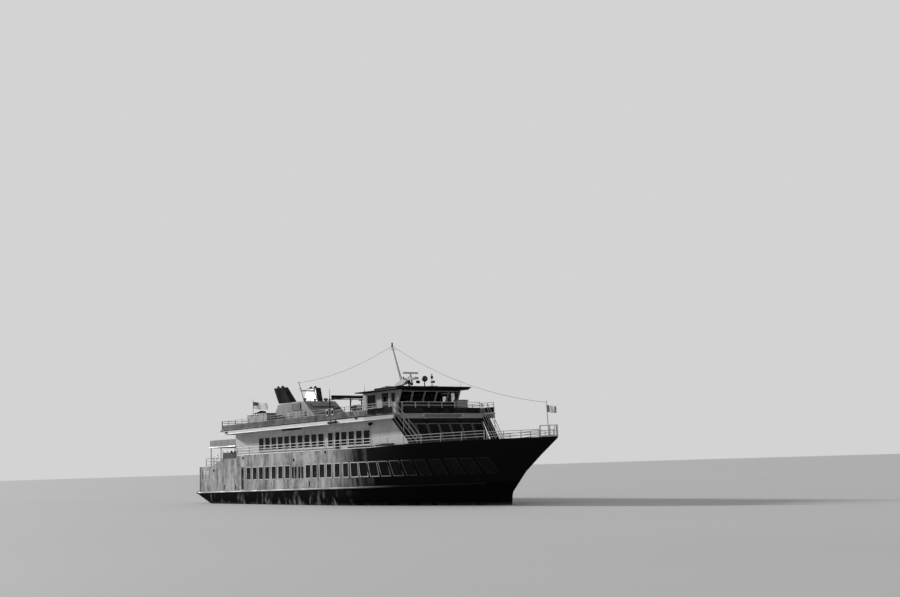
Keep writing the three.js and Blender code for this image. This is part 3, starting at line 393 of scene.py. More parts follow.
@dataclass(frozen=True)
class HullPaint:
    """Black hull paint, scuffed below the deck line; above it the flat side aft carries a painted sunlit
    sheen, streaked, that gives way to painted shade towards the bow.
    """

    name: str = "hull_paint"
    black: float = 0.007
    # Grey of the painted sunlit sheen on the flat side aft.
    chalk: float = 0.55
    scuff: float = 0.24
    salt: float = 0.08
    gloss: float = 0.002
    plate_length: float = 1.35
    # The painted sheen holds aft of the first place and is gone by the second, leaving painted shade towards
    # the bow.
    flat_until: float = 27.3
    dark_from: float = 34.8

    def build(self) -> Paint:
        """Makes the material.

        Returns:
            The material.
        """
        shader = Shader(self.name)
        along, height = shader.axis("X"), shader.axis("Z")
        edge = main_deck(MIDSHIP) * MODEL_SCALE
        over_deck = shader.math("SUBTRACT", height, shader.math("MULTIPLY", along, SHEER_MAIN))
        above = shader.level(over_deck, edge - 0.004, edge + 0.004)
        broad = shader.noise(2.2, 6.0, (1.0, 1.0, 0.16), 0.62)
        narrow = shader.noise(9.0, 6.0, (1.0, 1.0, 0.07), 0.65)
        curtains = shader.noise(3.2, 5.0, (1.0, 1.0, 0.35), 0.6)
        patches = shader.noise(0.8, 5.0)
        # Painted sheen and shade: a noisy mask lightens the flat side aft as painted sunlit sheen, and the
        # side darkens forward to painted shade where the bow turns away from the sun.
        ragged = shader.math("ADD", along, shader.level(broad, 0.3, 0.7, -1.2, 1.2))
        flat = shader.level(ragged, model_x(self.flat_until), model_x(self.dark_from), 1.0, 0.0)
        worn = shader.math("MULTIPLY", flat, shader.level(broad, 0.34, 0.6, 0.62, 1.0))
        painted_sheen = shader.mix(shader.math("POWER", worn, 1.4), self.black, self.chalk)
        mottle = shader.noise(5.0, 6.0, (1.0, 1.0, 0.7), 0.68)
        mottled = shader.mix(shader.level(mottle, 0.46, 0.64, 0.0, 0.34), painted_sheen, self.black)
        runs = shader.mix(shader.level(narrow, 0.5, 0.72, 0.0, 0.38), mottled, self.black)
        folds = shader.mix(shader.level(curtains, 0.5, 0.66, 0.0, 0.34), runs, self.black)
        side = shader.mix(shader.level(patches, 0.46, 0.7, 0.0, 0.35), folds, self.black)
        seam = shader.math("PINGPONG", along, self.plate_length)
        seams = shader.level(seam, 0.0, 0.012, 0.35, 0.0)
        reach = shader.level(height, 0.02, MAIN_DECK_AFT * MODEL_SCALE, 1.0, 0.3)
        scuffs = shader.noise(2.6, 4.0, (1.0, 1.0, 0.45), 0.55)
        rub = shader.level(narrow, 0.3, 0.6, 0.4, 1.0)
        rubbed = shader.math("MULTIPLY", shader.level(scuffs, 0.52, 0.7), rub)
        dry = shader.level(height, -0.12, 0.0)
        # The lower hull's scuffs keep to the same painted sunlit part and fade out forward with it.
        where = shader.math("MULTIPLY", flat, dry)
        marks = shader.math("MULTIPLY", shader.math("MULTIPLY", rubbed, reach), where)
        wet = shader.math("MULTIPLY", shader.level(height, 0.03, 0.13, 1.0, 0.0), dry)
        splash = shader.math("MULTIPLY", wet, shader.level(broad, 0.4, 0.6))
        scuffed = shader.mix(marks, self.black * 0.6, self.scuff)
        bottom = shader.mix(shader.math("MULTIPLY", splash, 0.5), scuffed, self.salt)
        seamed = shader.mix(seams, side, self.black)
        shader.set(
            Base_Color=shader.mix(above, bottom, seamed),
            Roughness=shader.level(broad, 0.3, 0.7, 0.5, 0.66),
            Specular_IOR_Level=self.gloss,
        )
        plates = shader.math("MULTIPLY", seams, -0.6)
        shader.bump(shader.math("ADD", shader.noise(3.0, 3.0, (1.0, 1.0, 0.6)), plates), 0.16, 0.012)
        return shader.material


@dataclass(frozen=True)
class DeckCoating:
    """Rough deck coating with grit and worn, paler paths."""

    name: str = "deck_coating"
    base: float = 0.12
    worn: float = 0.2

    def build(self) -> Paint:
        """Makes the material.

        Returns:
            The material.
        """
        shader = Shader(self.name)
        paths = shader.noise(0.9, 5.0, (0.5, 1.2, 1.0))
        grit = shader.noise(140.0, 2.0)
        worn = shader.mix(shader.level(paths, 0.4, 0.68), self.base, self.worn)
        gritty = shader.mix(shader.level(grit, 0.45, 0.7, 0.0, 0.35), worn, self.base * 0.5)
        shader.set(Base_Color=gritty, Roughness=0.86)
        shader.bump(grit, 0.35, 0.002)
        return shader.material


@dataclass(frozen=True)
class WindowGlass:
    """Window glass with a film of salt that lets some of the inside through."""

    name: str
    tint: float
    cover: float

    def build(self) -> Paint:
        """Makes the material.

        Returns:
            The material.
        """
        shader = Shader(self.name, blend_alpha=True)
        film = shader.noise(3.0, 4.0, (1.0, 1.0, 0.5))
        shader.set(
            Base_Color=shader.mix(shader.level(film, 0.45, 0.7, 0.0, 0.6), self.tint, self.tint * 3),
            Roughness=shader.level(film, 0.3, 0.7, 0.02, 0.06),
            Specular_IOR_Level=0.07,
            Alpha=self.cover,
        )
        return shader.material


@dataclass(frozen=True)
class WovenCanvas:
    """Coarse weatherproof cloth with a visible weave and faded patches."""

    name: str = "woven_canvas"
    base: float = 0.012
    faded: float = 0.035
    thread: float = 0.006

    def build(self) -> Paint:
        """Makes the material.

        Returns:
            The material.
        """
        shader = Shader(self.name)
        pitch = math.pi / self.thread
        warp = shader.math("SINE", shader.math("MULTIPLY", shader.axis("X"), pitch))
        fill = shader.math("SINE", shader.math("MULTIPLY", shader.axis("Y"), pitch))
        rise = shader.math("SINE", shader.math("MULTIPLY", shader.axis("Z"), pitch))
        weave = shader.math("ADD", shader.math("MULTIPLY", warp, fill), shader.math("MULTIPLY", warp, rise))
        clouds = shader.noise(2.4, 5.0)
        shader.set(
            Base_Color=shader.mix(shader.level(clouds, 0.38, 0.7), self.base, self.faded),
            Roughness=0.92,
            Specular_IOR_Level=0.0,
        )
        threads = shader.math("MULTIPLY", weave, 0.1)
        shader.bump(shader.math("ADD", threads, shader.noise(5.0, 3.0)), 0.4, 0.006)
        return shader.material


@dataclass(frozen=True)
class BareMetal:
    """Metal with brushed tone variation, used for steel and the propellers' bronze."""

    name: str
    colour: Point
    dull: Point
    metallic: float = 0.9
    roughness: float = 0.4

    def build(self) -> Paint:
        """Makes the material.

        Returns:
            The material.
        """
        shader = Shader(self.name)
        clouds = shader.noise(6.0, 6.0)
        shader.set(
            Base_Color=shader.mix(shader.level(clouds, 0.4, 0.7), self.colour, self.dull),
            Roughness=shader.level(clouds, 0.3, 0.7, self.roughness - 0.1, self.roughness + 0.2),
            Metallic=self.metallic,
        )
        shader.bump(shader.noise(30.0, 4.0), 0.12, 0.003)
        return shader.material


def flag_cloth(shader: Shader, colour: object) -> Paint:
    """Gives a material the sheen, the light from behind and the threads of flag cloth.

    Args:
        shader: The material under construction.
        colour: The cloth's colour.

    Returns:
        The material.
    """
    shader.set(
        Base_Color=colour, Roughness=0.85, Sheen_Weight=0.2, Subsurface_Weight=0.7,
        Subsurface_Radius=(1.0, 1.0, 1.0), Subsurface_Scale=0.03)
    shader.bump(shader.noise(120.0, 2.0), 0.2, 0.001)
    return shader.material


@dataclass(frozen=True)
class BandedCloth:
    """Flag cloth in plain upright bands, with a thread relief."""

    name: str
    start: float
    width: float
    bands: tuple[float, ...]

    def build(self) -> Paint:
        """Makes the material; the bands run along the boat from start, all of one width.

        Returns:
            The material.
        """
        shader = Shader(self.name)
        along = shader.axis("X")
        colour: object = self.bands[0]
        for index, band in enumerate(self.bands[1:], start=1):
            edge = self.start + index * self.width
            colour = shader.mix(shader.level(along, edge - 0.002, edge + 0.002), colour, band)
        return flag_cloth(shader, colour)


@dataclass(frozen=True)
class CantonCloth:
    """Flag cloth with a dark upper corner by the staff and soft pale bands across the rest."""

    name: str
    canton_fore: float
    canton_foot: float
    band: float = 0.05
    dark: float = 0.015
    light: float = 0.8
    dim: float = 0.55

    def build(self) -> Paint:
        """Makes the material.

        Returns:
            The material.
        """
        shader = Shader(self.name)
        along, height = shader.axis("X"), shader.axis("Z")
        aft = shader.level(along, self.canton_fore - 0.004, self.canton_fore + 0.004, 1.0, 0.0)
        upper = shader.level(height, self.canton_foot - 0.004, self.canton_foot + 0.004)
        bands = shader.level(shader.math("PINGPONG", height, self.band), self.band * 0.45, self.band * 0.55)
        banded = shader.mix(bands, self.light, self.dim)
        return flag_cloth(shader, shader.mix(shader.math("MULTIPLY", aft, upper), banded, self.dark))


class Finishes:
    """All finishes of the boat, each made once."""

    def __init__(self) -> None:
        """Builds every material."""
        self.hull = HullPaint().build()
        self.white = WornPaint("weathered_white", 0.5, 0.26, streak=0.22, cloud=0.2).build()
        self.cabin = WornPaint("pilothouse_white", 0.36, 0.14, streak=0.3, cloud=0.35).build()
        self.locker = WornPaint("locker_grey", 0.34, 0.16, streak=0.4, cloud=0.5).build()
        self.cover = WornPaint(
            "black_cover", 0.007, 0.015, streak=0.2, cloud=0.4, roughness=0.8, gloss=0.0).build()
        self.house = WornPaint("house_white", 0.55, 0.2, streak=0.3, cloud=0.35).build()
        self.fascia = WornPaint(
            "fascia_white", 0.6, 0.3, streak=0.2, cloud=0.2, fades=(33.7, 34.1), faded=0.33).build()
        # The strake darkens to near black from s 29 to s 38: painted shade where the bow turns away from the
        # sun.
        self.strake = WornPaint(
            "strake_white", 0.36, 0.18, streak=0.3, gloss=0.02, fades=(29.0, 38.0), faded=0.012).build()
        # The window frames darken from s 32 to s 41: painted shade on the bow windows.
        self.frames = WornPaint("window_frame_paint", 0.6, 0.3, gloss=0.05, fades=(32.0, 41.0)).build()
        # Near-black grey: on the front walls it is painted shade on faces turned away from the sun; it is
        # also used on the quarter panel.
        self.bulkhead = WornPaint(
            "front_bulkhead_grey", 0.035, 0.02, streak=0.3, cloud=0.3, gloss=0.05).build()
        self.netting = WornPaint("rail_netting", 0.36, 0.1, streak=0.5, cloud=0.8, roughness=0.7).build()
        self.galvanised = WornPaint(
            "galvanised_paint", 0.34, 0.12, streak=0.5, cloud=0.5, roughness=0.6).build()
        self.casing = WornPaint("casing_grey", 0.23, 0.03, streak=0.85, streak_pitch=3.2, cloud=0.6).build()
        self.funnel = WornPaint(
            "funnel_black", 0.01, 0.07, streak=0.6, streak_pitch=4.0, cloud=0.4, roughness=0.6,
            gloss=0.01).build()
        self.grey = WornPaint("fitting_grey", 0.2, 0.08, streak=0.4, cloud=0.4).build()
        self.dark = WornPaint(
            "dark_enamel", 0.012, 0.04, streak=0.3, cloud=0.4, roughness=0.6, gloss=0.02).build()
        self.deck = DeckCoating().build()
        # The saloon glass is near black and almost opaque: painted shade standing for the dark inside.
        self.glass = WindowGlass("saloon_glass", 0.004, 0.94).build()
        self.clear_glass = WindowGlass("pilothouse_glass", 0.008, 0.15).build()
        self.canvas = WovenCanvas().build()
        self.steel = BareMetal("galvanised_steel", (0.38, 0.39, 0.4), (0.2, 0.2, 0.2)).build()
        self.bronze = BareMetal("cast_bronze", (0.5, 0.33, 0.14), (0.16, 0.14, 0.08)).build()
        self.rubber = WornPaint("black_rubber", 0.015, 0.05, streak=0.2, roughness=0.7).build()
        self.lining = WornPaint("lining_grey", 0.12, 0.06, streak=0.1, cloud=0.3, roughness=0.6).build()
        self.slats = WornPaint(
            "slatted_timber", 0.14, 0.06, streak=0.5, cloud=0.5, roughness=0.6, warmth=0.1).build()
        self.buoy = WornPaint("ring_buoy", 0.32, 0.12, streak=0.1, cloud=0.4).build()


# Modelling by operators


def deselect() -> None:
    """Leaves object mode with nothing selected."""
    if bpy.context.object and bpy.context.object.mode != "OBJECT":
        bpy.ops.object.mode_set(mode="OBJECT")
    bpy.ops.object.select_all(action="DESELECT")


def select_only(*objects: Piece) -> None:
    """Selects objects and nothing else.

    Args:
        objects: The objects, of which the first becomes active.
    """
    deselect()
    for each in objects:
        each.select_set(True)
    bpy.context.view_layer.objects.active = objects[0]


def settle() -> Piece:
    """Puts the active object's place, turn and size into its mesh."""
    bpy.ops.object.transform_apply(location=True, rotation=True, scale=True)
    return bpy.context.object


def open_mesh() -> None:
    """Enters edit mode with all of the active mesh selected."""
    bpy.ops.object.mode_set(mode="EDIT")
    bpy.ops.mesh.select_all(action="SELECT")


def close_mesh() -> None:
    """Leaves edit mode."""
    bpy.ops.object.mode_set(mode="OBJECT")


def spaced(points: Sequence[Vector], pitch: float) -> list[Vector]:
    """Places along a line at an even pitch.

    Args:
        points: The line's points.
        pitch: The pitch asked for; the one used is close to it.

    Returns:
        The places, both ends included.
    """
    lengths = [0.0]
    for first, second in zip(points, points[1:]):
        lengths.append(lengths[-1] + (second - first).length)
    count = max(1, round(lengths[-1] / pitch))
    places = []
    for index in range(count + 1):
        reach = lengths[-1] * index / count
        part = next((i for i in range(len(points) - 1) if lengths[i + 1] >= reach - 1e-9), len(points) - 2)
        run = lengths[part + 1] - lengths[part]
        share = (reach - lengths[part]) / run if run else 0.0
        places.append(points[part].lerp(points[part + 1], share))
    return places


def block(low: Place, high: Place, bevel: float = 0.0, segments: int = 2) -> Piece:
    """A box between two corners.

    Args:
        low: The low corner.
        high: The high corner.
        bevel: How far its edges are rounded.
        segments: Faces across a rounded edge.

    Returns:
        The box.
    """
    deselect()
    bpy.ops.mesh.primitive_cube_add(size=1.0, location=(Vector(low) + Vector(high)) / 2)
    bpy.context.object.scale = Vector(high) - Vector(low)
    made = settle()
    if bevel > 0:
        open_mesh()
        bpy.ops.mesh.bevel(offset=bevel, segments=segments, affect="EDGES")
        close_mesh()
    return made


def rod(start: Place, end: Place, radius: float, tip: float | None = None, sides: int = 10) -> Piece:
    """A round bar between two points.

    Args:
        start: Where it starts.
        end: Where it ends.
        radius: Its radius, at the start if it tapers.
        tip: Its radius at the end, if it tapers.
        sides: Faces round it.

    Returns:
        The bar.
    """
    first, last = Vector(start), Vector(end)
    run = last - first
    deselect()
    bpy.ops.mesh.primitive_cone_add(
        vertices=sides, radius1=radius, radius2=radius if tip is None else tip, depth=run.length,
        location=(first + last) / 2, rotation=run.to_track_quat("Z", "Y").to_euler())
    return settle()


def ball(centre: Place, radius: float, squash: float = 1.0) -> Piece:
    """A ball, lower or taller by the squash factor.

    Args:
        centre: Its centre.
        radius: Its radius.
        squash: Its height over its width.

    Returns:
        The ball.
    """
    deselect()
    bpy.ops.mesh.primitive_uv_sphere_add(segments=20, ring_count=12, radius=radius, location=centre)
    bpy.context.object.scale.z = squash
    return settle()


def ring(centre: Place, radius: float, thick: float, facing: Place, sides: int = 10) -> Piece:
    """A round ring.

    Args:
        centre: Its centre.
        radius: Radius of the line through its bar's middle.
        thick: Radius of the bar.
        facing: The direction that it faces.
        sides: Faces round the bar.

    Returns:
        The ring.
    """
    deselect()
    bpy.ops.mesh.primitive_torus_add(
        major_radius=radius, minor_radius=thick, major_segments=24, minor_segments=sides,
        location=centre, rotation=Vector(facing).to_track_quat("Z", "Y").to_euler())
    return settle()


def pipe(points: Iterable[Place], radius: float, rounding: int = 1, closed: bool = False) -> Piece:
    """A round pipe through points, with capped ends.

    Args:
        points: The points.
        radius: The pipe's radius.
        rounding: How finely it is rounded.
        closed: True where it runs back to its start.

    Returns:
        The pipe.
    """
    curve = bpy.data.curves.new("pipe", "CURVE")
    curve.dimensions = "3D"
    curve.bevel_depth = radius
    curve.bevel_resolution = rounding
    curve.use_fill_caps = True
    places = list(points)
    spline = curve.splines.new("POLY")
    spline.points.add(len(places) - 1)
    for control, place in zip(spline.points, places):
        control.co = (*place, 1.0)
    spline.use_cyclic_u = closed
    made = bpy.data.objects.new("pipe", curve)
    bpy.context.scene.collection.objects.link(made)
    select_only(made)
    bpy.ops.object.convert(target="MESH")
    return bpy.context.object


def plate(outline: Sequence[Place], push: Place) -> Piece:
    """A flat plate: an outline, filled and pushed through.

    Args:
        outline: The outline's points in order.
        push: The way and the distance that it is pushed.

    Returns:
        The plate.
    """
    deselect()
    bpy.ops.mesh.primitive_circle_add(vertices=len(outline), fill_type="NGON")
    made = settle()
    for vertex, place in zip(made.data.vertices, outline):
        vertex.co = place
    open_mesh()
    bpy.ops.mesh.extrude_region_move(TRANSFORM_OT_translate={"value": push})
    bpy.ops.mesh.select_all(action="SELECT")
    bpy.ops.mesh.normals_make_consistent(inside=False)
    close_mesh()
    return made


def grid(place: Callable[[float, float], Place], across: int, along: int) -> Piece:
    """A curved sheet without thickness.

    Args:
        place: Gives the point for two shares from 0 to 1.
        across: Number of faces along the first share.
        along: Number of faces along the second.

    Returns:
        The sheet.
    """
    deselect()
    bpy.ops.mesh.primitive_grid_add(x_subdivisions=across, y_subdivisions=along, size=1.0)
    made = bpy.context.object
    for vertex in made.data.vertices:
        vertex.co = place(vertex.co.x + 0.5, vertex.co.y + 0.5)
    return made


def sheet(place: Callable[[float, float], Place], across: int, along: int, thick: float) -> Piece:
    """A curved sheet as the one above, with a thickness to both sides."""
    return modify(grid(place, across, along), "SOLIDIFY", thickness=thick, offset=0.0)


def wire_mesh(
    start: Vector, end: Vector, low: float, high: float, pitch: float = 0.12, wire: float = 0.05,
) -> Piece:
    """Upright wire mesh.

    Args:
        start: Its foot point at one end.
        end: Its foot point at the other end.
        low: Its lower edge over the foot points.
        high: Its upper edge over the foot points.
        pitch: The size of its meshes.
        wire: The wire's thickness.

    Returns:
        The mesh.
    """
    run = end - start
    across = max(1, round(run.length / pitch))
    rows = max(1, round((high - low) / pitch))
    made = grid(lambda x, y: start + run * x + Vector((0, 0, low + (high - low) * y)), across, rows)
    return modify(made, "WIREFRAME", thickness=wire)


def skin(node: Piece, bevel: float = 0.0) -> Piece:
    """A cleaned copy of a solid at the real boat's size.

    Args:
        node: The solid, which stays as it is.
        bevel: How far the copy's edges are rounded.

    Returns:
        The copy.
    """
    made = bpy.data.objects.new("skin", node.data.copy())
    bpy.context.scene.collection.objects.link(made)
    made.data.transform(TO_REAL)
    select_only(made)
    open_mesh()
    bpy.ops.mesh.remove_doubles(threshold=0.0005)
    bpy.ops.mesh.dissolve_limited(angle_limit=math.radians(0.4))
    bpy.ops.mesh.customdata_custom_splitnormals_clear()
    close_mesh()
    if bevel > 0:
        modify(made, "BEVEL", width=bevel, segments=2, limit_method="ANGLE", angle_limit=math.radians(40))
    return made


def copy(source: Piece, shift: Place = (0, 0, 0)) -> Piece:
    """A copy with its own mesh.

    Args:
        source: What is copied.
        shift: How far the copy is moved.

    Returns:
        The copy.
    """
    made = source.copy()
    made.data = source.data.copy()
    made.data.transform(Matrix.Translation(shift))
    bpy.context.scene.collection.objects.link(made)
    return made


def row(source: Piece, shifts: Iterable[Place]) -> list[Piece]:
    """Copies of a pattern at several places.

    Args:
        source: The pattern, which goes.
        shifts: Where the copies are moved.

    Returns:
        The copies.
    """
    made = [copy(source, shift) for shift in shifts]
    bpy.data.objects.remove(source)
    return made


def mirror(source: Piece) -> Piece:
    """The mirror image of a piece across the centreline, with its faces turned out again.

    Args:
        source: The piece.

    Returns:
        The image.
    """
    made = copy(source)
    made.data.transform(Matrix.Scale(-1, 4, (0, 1, 0)))
    made.data.flip_normals()
    return made


def join(parts: Sequence[Piece]) -> Piece:
    """Joins parts into the first one.

    Args:
        parts: The parts.

    Returns:
        The first one.
    """
    if len(parts) > 1:
        select_only(*parts)
        bpy.ops.object.join()
    return parts[0]


def modify(piece: Piece, kind: str, **settings: object) -> Piece:
    """Adds a modifier to a piece and applies it.

    Args:
        piece: The piece.
        kind: The modifier's kind.
        settings: The modifier's settings by name.

    Returns:
        The piece.
    """
    made = piece.modifiers.new(kind.lower(), kind)
    for key, value in settings.items():
        setattr(made, key, value)
    select_only(piece)
    bpy.ops.object.modifier_apply(modifier=made.name)
    return piece


@dataclass
class SubAssembly:
    """A part of the boat, whose pieces are painted and fastened as they are made."""

    paints: Finishes
    nodes: Nodes
    made: list[Piece] = field(default_factory=list, init=False)

    def finish(
        self, parts: Piece | list[Piece], name: str, material: Paint, slot: Slot = Slot.WHITE,
        body: str = "root", replaces: Sequence[str] = (), smooth: float = 35.0,
    ) -> Piece:
        """Puts a piece into the model's frame, paints it and fastens it to a body.

        Args:
            parts: The piece, or what is joined into it, modelled at the real boat's size.
            name: Its name.
            material: Its finish.
            slot: Not used.
            body: The body that it rides on.
            replaces: Solids that it stands for.
            smooth: Angle in degrees under which edges are shaded smooth.

        Returns:
            The finished piece.
        """
        piece = join(parts) if isinstance(parts, list) else parts
        piece.data.transform(TO_MODEL @ piece.matrix_world)
        piece.matrix_world = Matrix.Identity(4)
        piece.name = name
        piece.data.name = name
        piece.data.materials.clear()
        piece.data.materials.append(material)
        select_only(piece)
        bpy.ops.object.shade_smooth_by_angle(angle=math.radians(smooth))
        modify(piece, "WEIGHTED_NORMAL", weight=100, keep_sharp=True)
        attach(piece, body)
        if replaces:
            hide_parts(*replaces)
        self.made.append(piece)
        return piece

    def both_sides(
        self, parts: Piece | list[Piece], name: str, material: Paint, slot: Slot = Slot.WHITE,
        replaces: str = "", smooth: float = 35.0, rides: bool = False,
    ) -> None:
        """Finishes a starboard piece and its mirror image on the port side.

        Args:
            parts: The starboard piece, or what is joined into it.
            name: The name that both share before the side's own.
            material: Their finish.
            slot: The record's slot that the finish belongs to.
            replaces: The name that the solids they stand for share, or nothing.
            smooth: Angle in degrees under which edges are shaded smooth.
            rides: True where they ride on the body named after what they stand for.
        """
        piece = join(parts) if isinstance(parts, list) else parts
        for side, half in ((Side.PORT, mirror(piece)), (Side.STBD, piece)):
            solid = f"{replaces}_{side.label}"
            self.finish(
                half, f"{name}_{side.label}", material, slot, body=solid if rides else "root",
                replaces=(solid,) if replaces else (), smooth=smooth)

    def cover(
        self, solid: str, name: str, material: Paint, slot: Slot = Slot.WHITE, bevel: float = 0.0,
        smooth: float = 35.0,
    ) -> None:
        """Finishes a skin over one solid, in its place.

        Args:
            solid: The solid's name.
            name: The skin's name.
            material: Its finish.
            slot: The record's slot that the finish belongs to.
            bevel: How far its edges are rounded.
            smooth: Angle in degrees under which edges are shaded smooth.
        """
        made = skin(self.nodes[solid], bevel)
        self.finish(made, name, material, slot, replaces=(solid,), smooth=smooth)


class Surface:
    """The outer face of a solid, found by straight probes, in the real boat's metres."""

    def __init__(self, node: Piece) -> None:
        """Reads the solid's faces.

        Args:
            node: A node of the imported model.
        """
        corners = [TO_REAL @ vertex.co for vertex in node.data.vertices]
        faces = [tuple(face.vertices) for face in node.data.polygons]
        self.tree = BVHTree.FromPolygons(corners, faces)

    def side(self, s: float, z: float, side: Side = Side.STBD) -> Vector | None:
        """The point of the side at a place, or None over a hole.

        Args:
            s: Place along the boat.
            z: Height.
            side: Which side to probe from.

        Returns:
            The point, or None.
        """
        start = Vector((s, side.value * 8.0, z))
        return self.tree.ray_cast(start, Vector((0, -side.value, 0)), 9.0)[0]


# Hull


@dataclass
class Plating(SubAssembly):
    """The hull's plating, with the rubbing strake, the cap on the shell's edge and fittings on the side."""

    smooth: float = 26.0
    fender: float = 0.075
    strake_aft: float = 0.9
    strake_fore: float = 46.2
    cap: float = 0.05
    cap_run: tuple[float, ...] = (
        9.9, 14.0, 18.0, 22.0, 26.0, 30.0, 33.0, 35.0, 37.5, 40.0, 42.0, 44.0, 46.0, 47.1)
    slots: tuple[tuple[float, float], ...] = ((6.98, 1.61), (9.57, 1.6), (24.47, 1.88))
    ports: tuple[tuple[float, float], ...] = (
        (4.52, 3.31), (8.66, 5.09), (9.45, 5.11), (11.28, 4.45), (21.61, 4.03), (27.38, 4.59))

    def plates(self) -> None:
        """Smooth skins over the hull's solids."""
        for name in ("hull", "shell_stbd", "shell_port", "bow_bulwark", "stern_coaming"):
            slot = Slot.HULL_BLACK if name == "hull" else Slot.HULL_GREY
            self.cover(name, f"{name}_plating", self.paints.hull, slot, smooth=self.smooth)

    def strake(self, hull: Surface) -> None:
        """The round fender on the strake, on both sides.

        Args:
            hull: The lower hull's outer face.
        """
        points = []
        s = self.strake_aft
        while s <= self.strake_fore:
            found = hull.side(s, main_deck(s) - 0.06)
            if found:
                points.append(found + Vector((0, 0.02, 0)))
            s += 0.9 if s > 2.0 else 0.25
        self.both_sides(pipe(points, self.fender, 2), "strake_fender", self.paints.strake)

    def caps(self, shell: Surface) -> None:
        """The cap rail on the shell's top edge.

        Args:
            shell: The side shell's outer face.
        """
        # The fore cap takes the frames' paint, which darkens forward as painted shade.
        runs = (("aft", self.cap_run[:6], self.paints.casing), ("fore", self.cap_run[5:], self.paints.frames))
        for name, run, paint in runs:
            found = [(s, shell.side(s, cap_height(s) - 0.06)) for s in run]
            points = [(s, spot.y + 0.05, cap_height(s) + 0.02) for s, spot in found if spot]
            self.both_sides(pipe(points, self.cap), f"shell_cap_{name}", paint)

    def fittings(self, shell: Surface) -> None:
        """Slots and round ports on the side, and the white edging by the quarter.

        Args:
            shell: The side shell's outer face.
        """
        parts = []
        for s, z in self.slots:
            y = shell.side(s, z).y
            parts.append(block((s - 0.08, y - 0.02, z - 0.22), (s + 0.08, y + 0.02, z + 0.22), 0.015))
        for s, z in self.ports:
            found = shell.side(s, z)
            y = found.y if found else -HALF_BEAM
            parts.append(ring((s, y - 0.01, z), 0.1, 0.03, (0, -1, 0)))
            parts.append(rod((s, y - 0.015, z), (s, y + 0.03, z), 0.09, sides=16))
        self.both_sides(parts, "side_fittings", self.paints.dark, Slot.HULL_BLACK)
        edge = [rod((1.2, -5.19, main_deck(1.2) + 0.05), (1.2, -5.19, 3.72), 0.05, sides=10),
                block((11.43, -5.2, 1.42), (11.55, -5.17, 3.56), 0.012)]
        self.both_sides(edge, "side_edging", self.paints.white)

    def build(self) -> None:
        """Builds the plating and all that is on it."""
        hull, shell = Surface(self.nodes["hull"]), Surface(self.nodes["shell_stbd"])
        self.strake(hull)
        self.caps(shell)
        self.fittings(shell)
        self.plates()


# Windows


def around(hole: Hole) -> tuple[tuple[float, float], ...]:
    """A hole's four corners in order, from its ends and its heights."""
    a, b, low, high = hole
    return (a, low), (b, low), (b, high), (a, high)


@dataclass(frozen=True)
class Opening:
    """One window opening: its low corner, the ways across and up with their sizes, and the way out."""

    corner: Vector
    across: Vector
    up: Vector
    out: Vector

    @classmethod
    def through(cls, corners: Sequence[Vector], outward: Vector) -> Opening:
        """The opening between four corners.

        Args:
            corners: The corners, given round from the low one that across starts at.
            outward: A direction that points out of the wall.

        Returns:
            The opening.
        """
        low_left, low_right, high_right, high_left = corners
        across = (low_right - low_left + high_right - high_left) / 2
        up = (high_left - low_left + high_right - low_right) / 2
        centre = (low_left + low_right + high_right + high_left) / 4
        out = across.cross(up).normalized()
        return cls(centre - across / 2 - up / 2, across, up, out if out.dot(outward) > 0 else -out)


class Glazing:
    """One metal frame and one pane, modelled once and fitted to each opening."""

    def __init__(
        self, owner: SubAssembly, border: float = 0.05, lap: float = 0.02, depth: float = 0.035,
    ) -> None:
        """Models the frame and the pane.

        Args:
            owner: The sub-assembly that the pieces belong to.
            border: How far the frame reaches outside the opening.
            lap: How far it reaches inside.
            depth: Its thickness.
        """
        self.owner = owner
        deselect()
        bpy.ops.mesh.primitive_plane_add(size=1.0, location=(0.5, 0.0, 0.5), rotation=(math.pi / 2, 0, 0))
        bpy.context.object.scale = (1 + 2 * border, 1 + 2 * border, 1)
        self.frame = settle()
        open_mesh()
        bpy.ops.mesh.inset(thickness=border + lap)
        bpy.ops.mesh.delete(type="FACE")
        close_mesh()
        modify(self.frame, "SOLIDIFY", thickness=depth, offset=0.0)
        modify(self.frame, "BEVEL", width=0.008, segments=1, limit_method="ANGLE")
        self.pane = block((-0.01, -0.006, -0.01), (1.01, 0.006, 1.01))

    def fit(self, pattern: Piece, opening: Opening, shift: float) -> Piece:
        """A copy of the frame or the pane in an opening.

        Args:
            pattern: The frame or the pane.
            opening: The opening.
            shift: How far the copy stands out of it.

        Returns:
            The copy.
        """
        made = copy(pattern)
        wide, high = opening.across.length, opening.up.length
        across, up = opening.across.normalized(), opening.up.normalized()
        for vertex in made.data.vertices:
            x, y, z = vertex.co
            run = x * wide if 0 <= x <= 1 else min(x, 0.0) + (wide + x - 1 if x > 1 else 0.0)
            rise = z * high if 0 <= z <= 1 else min(z, 0.0) + (high + z - 1 if z > 1 else 0.0)
            vertex.co = opening.corner + across * run + up * rise + opening.out * (shift - y)
        if across.cross(-opening.out).dot(up) < 0:
            made.data.flip_normals()
        return made

    def fill(
        self, openings: Sequence[Opening], name: str, paint: Paint, glass: Paint,
        body: str = "root", shift: float = 0.012, sunk: float = -0.03,
    ) -> None:
        """Frames and panes for a group of openings, as two pieces.

        Args:
            openings: The openings.
            name: What the pieces' names begin with.
            paint: The frames' finish.
            glass: The panes' finish.
            body: The body that they ride on.
            shift: How far the frames stand out.
            sunk: How far the panes stand out, below 0 for in.
        """
        frames = [self.fit(self.frame, each, shift) for each in openings]
        panes = [self.fit(self.pane, each, sunk) for each in openings]
        self.owner.finish(frames, f"{name}_frames", paint, Slot.STEEL, body=body)
        self.owner.finish(panes, f"{name}_panes", glass, Slot.STEEL, body=body)

    def clear(self) -> None:
        """Puts the two patterns away."""
        bpy.data.objects.remove(self.frame)
        bpy.data.objects.remove(self.pane)


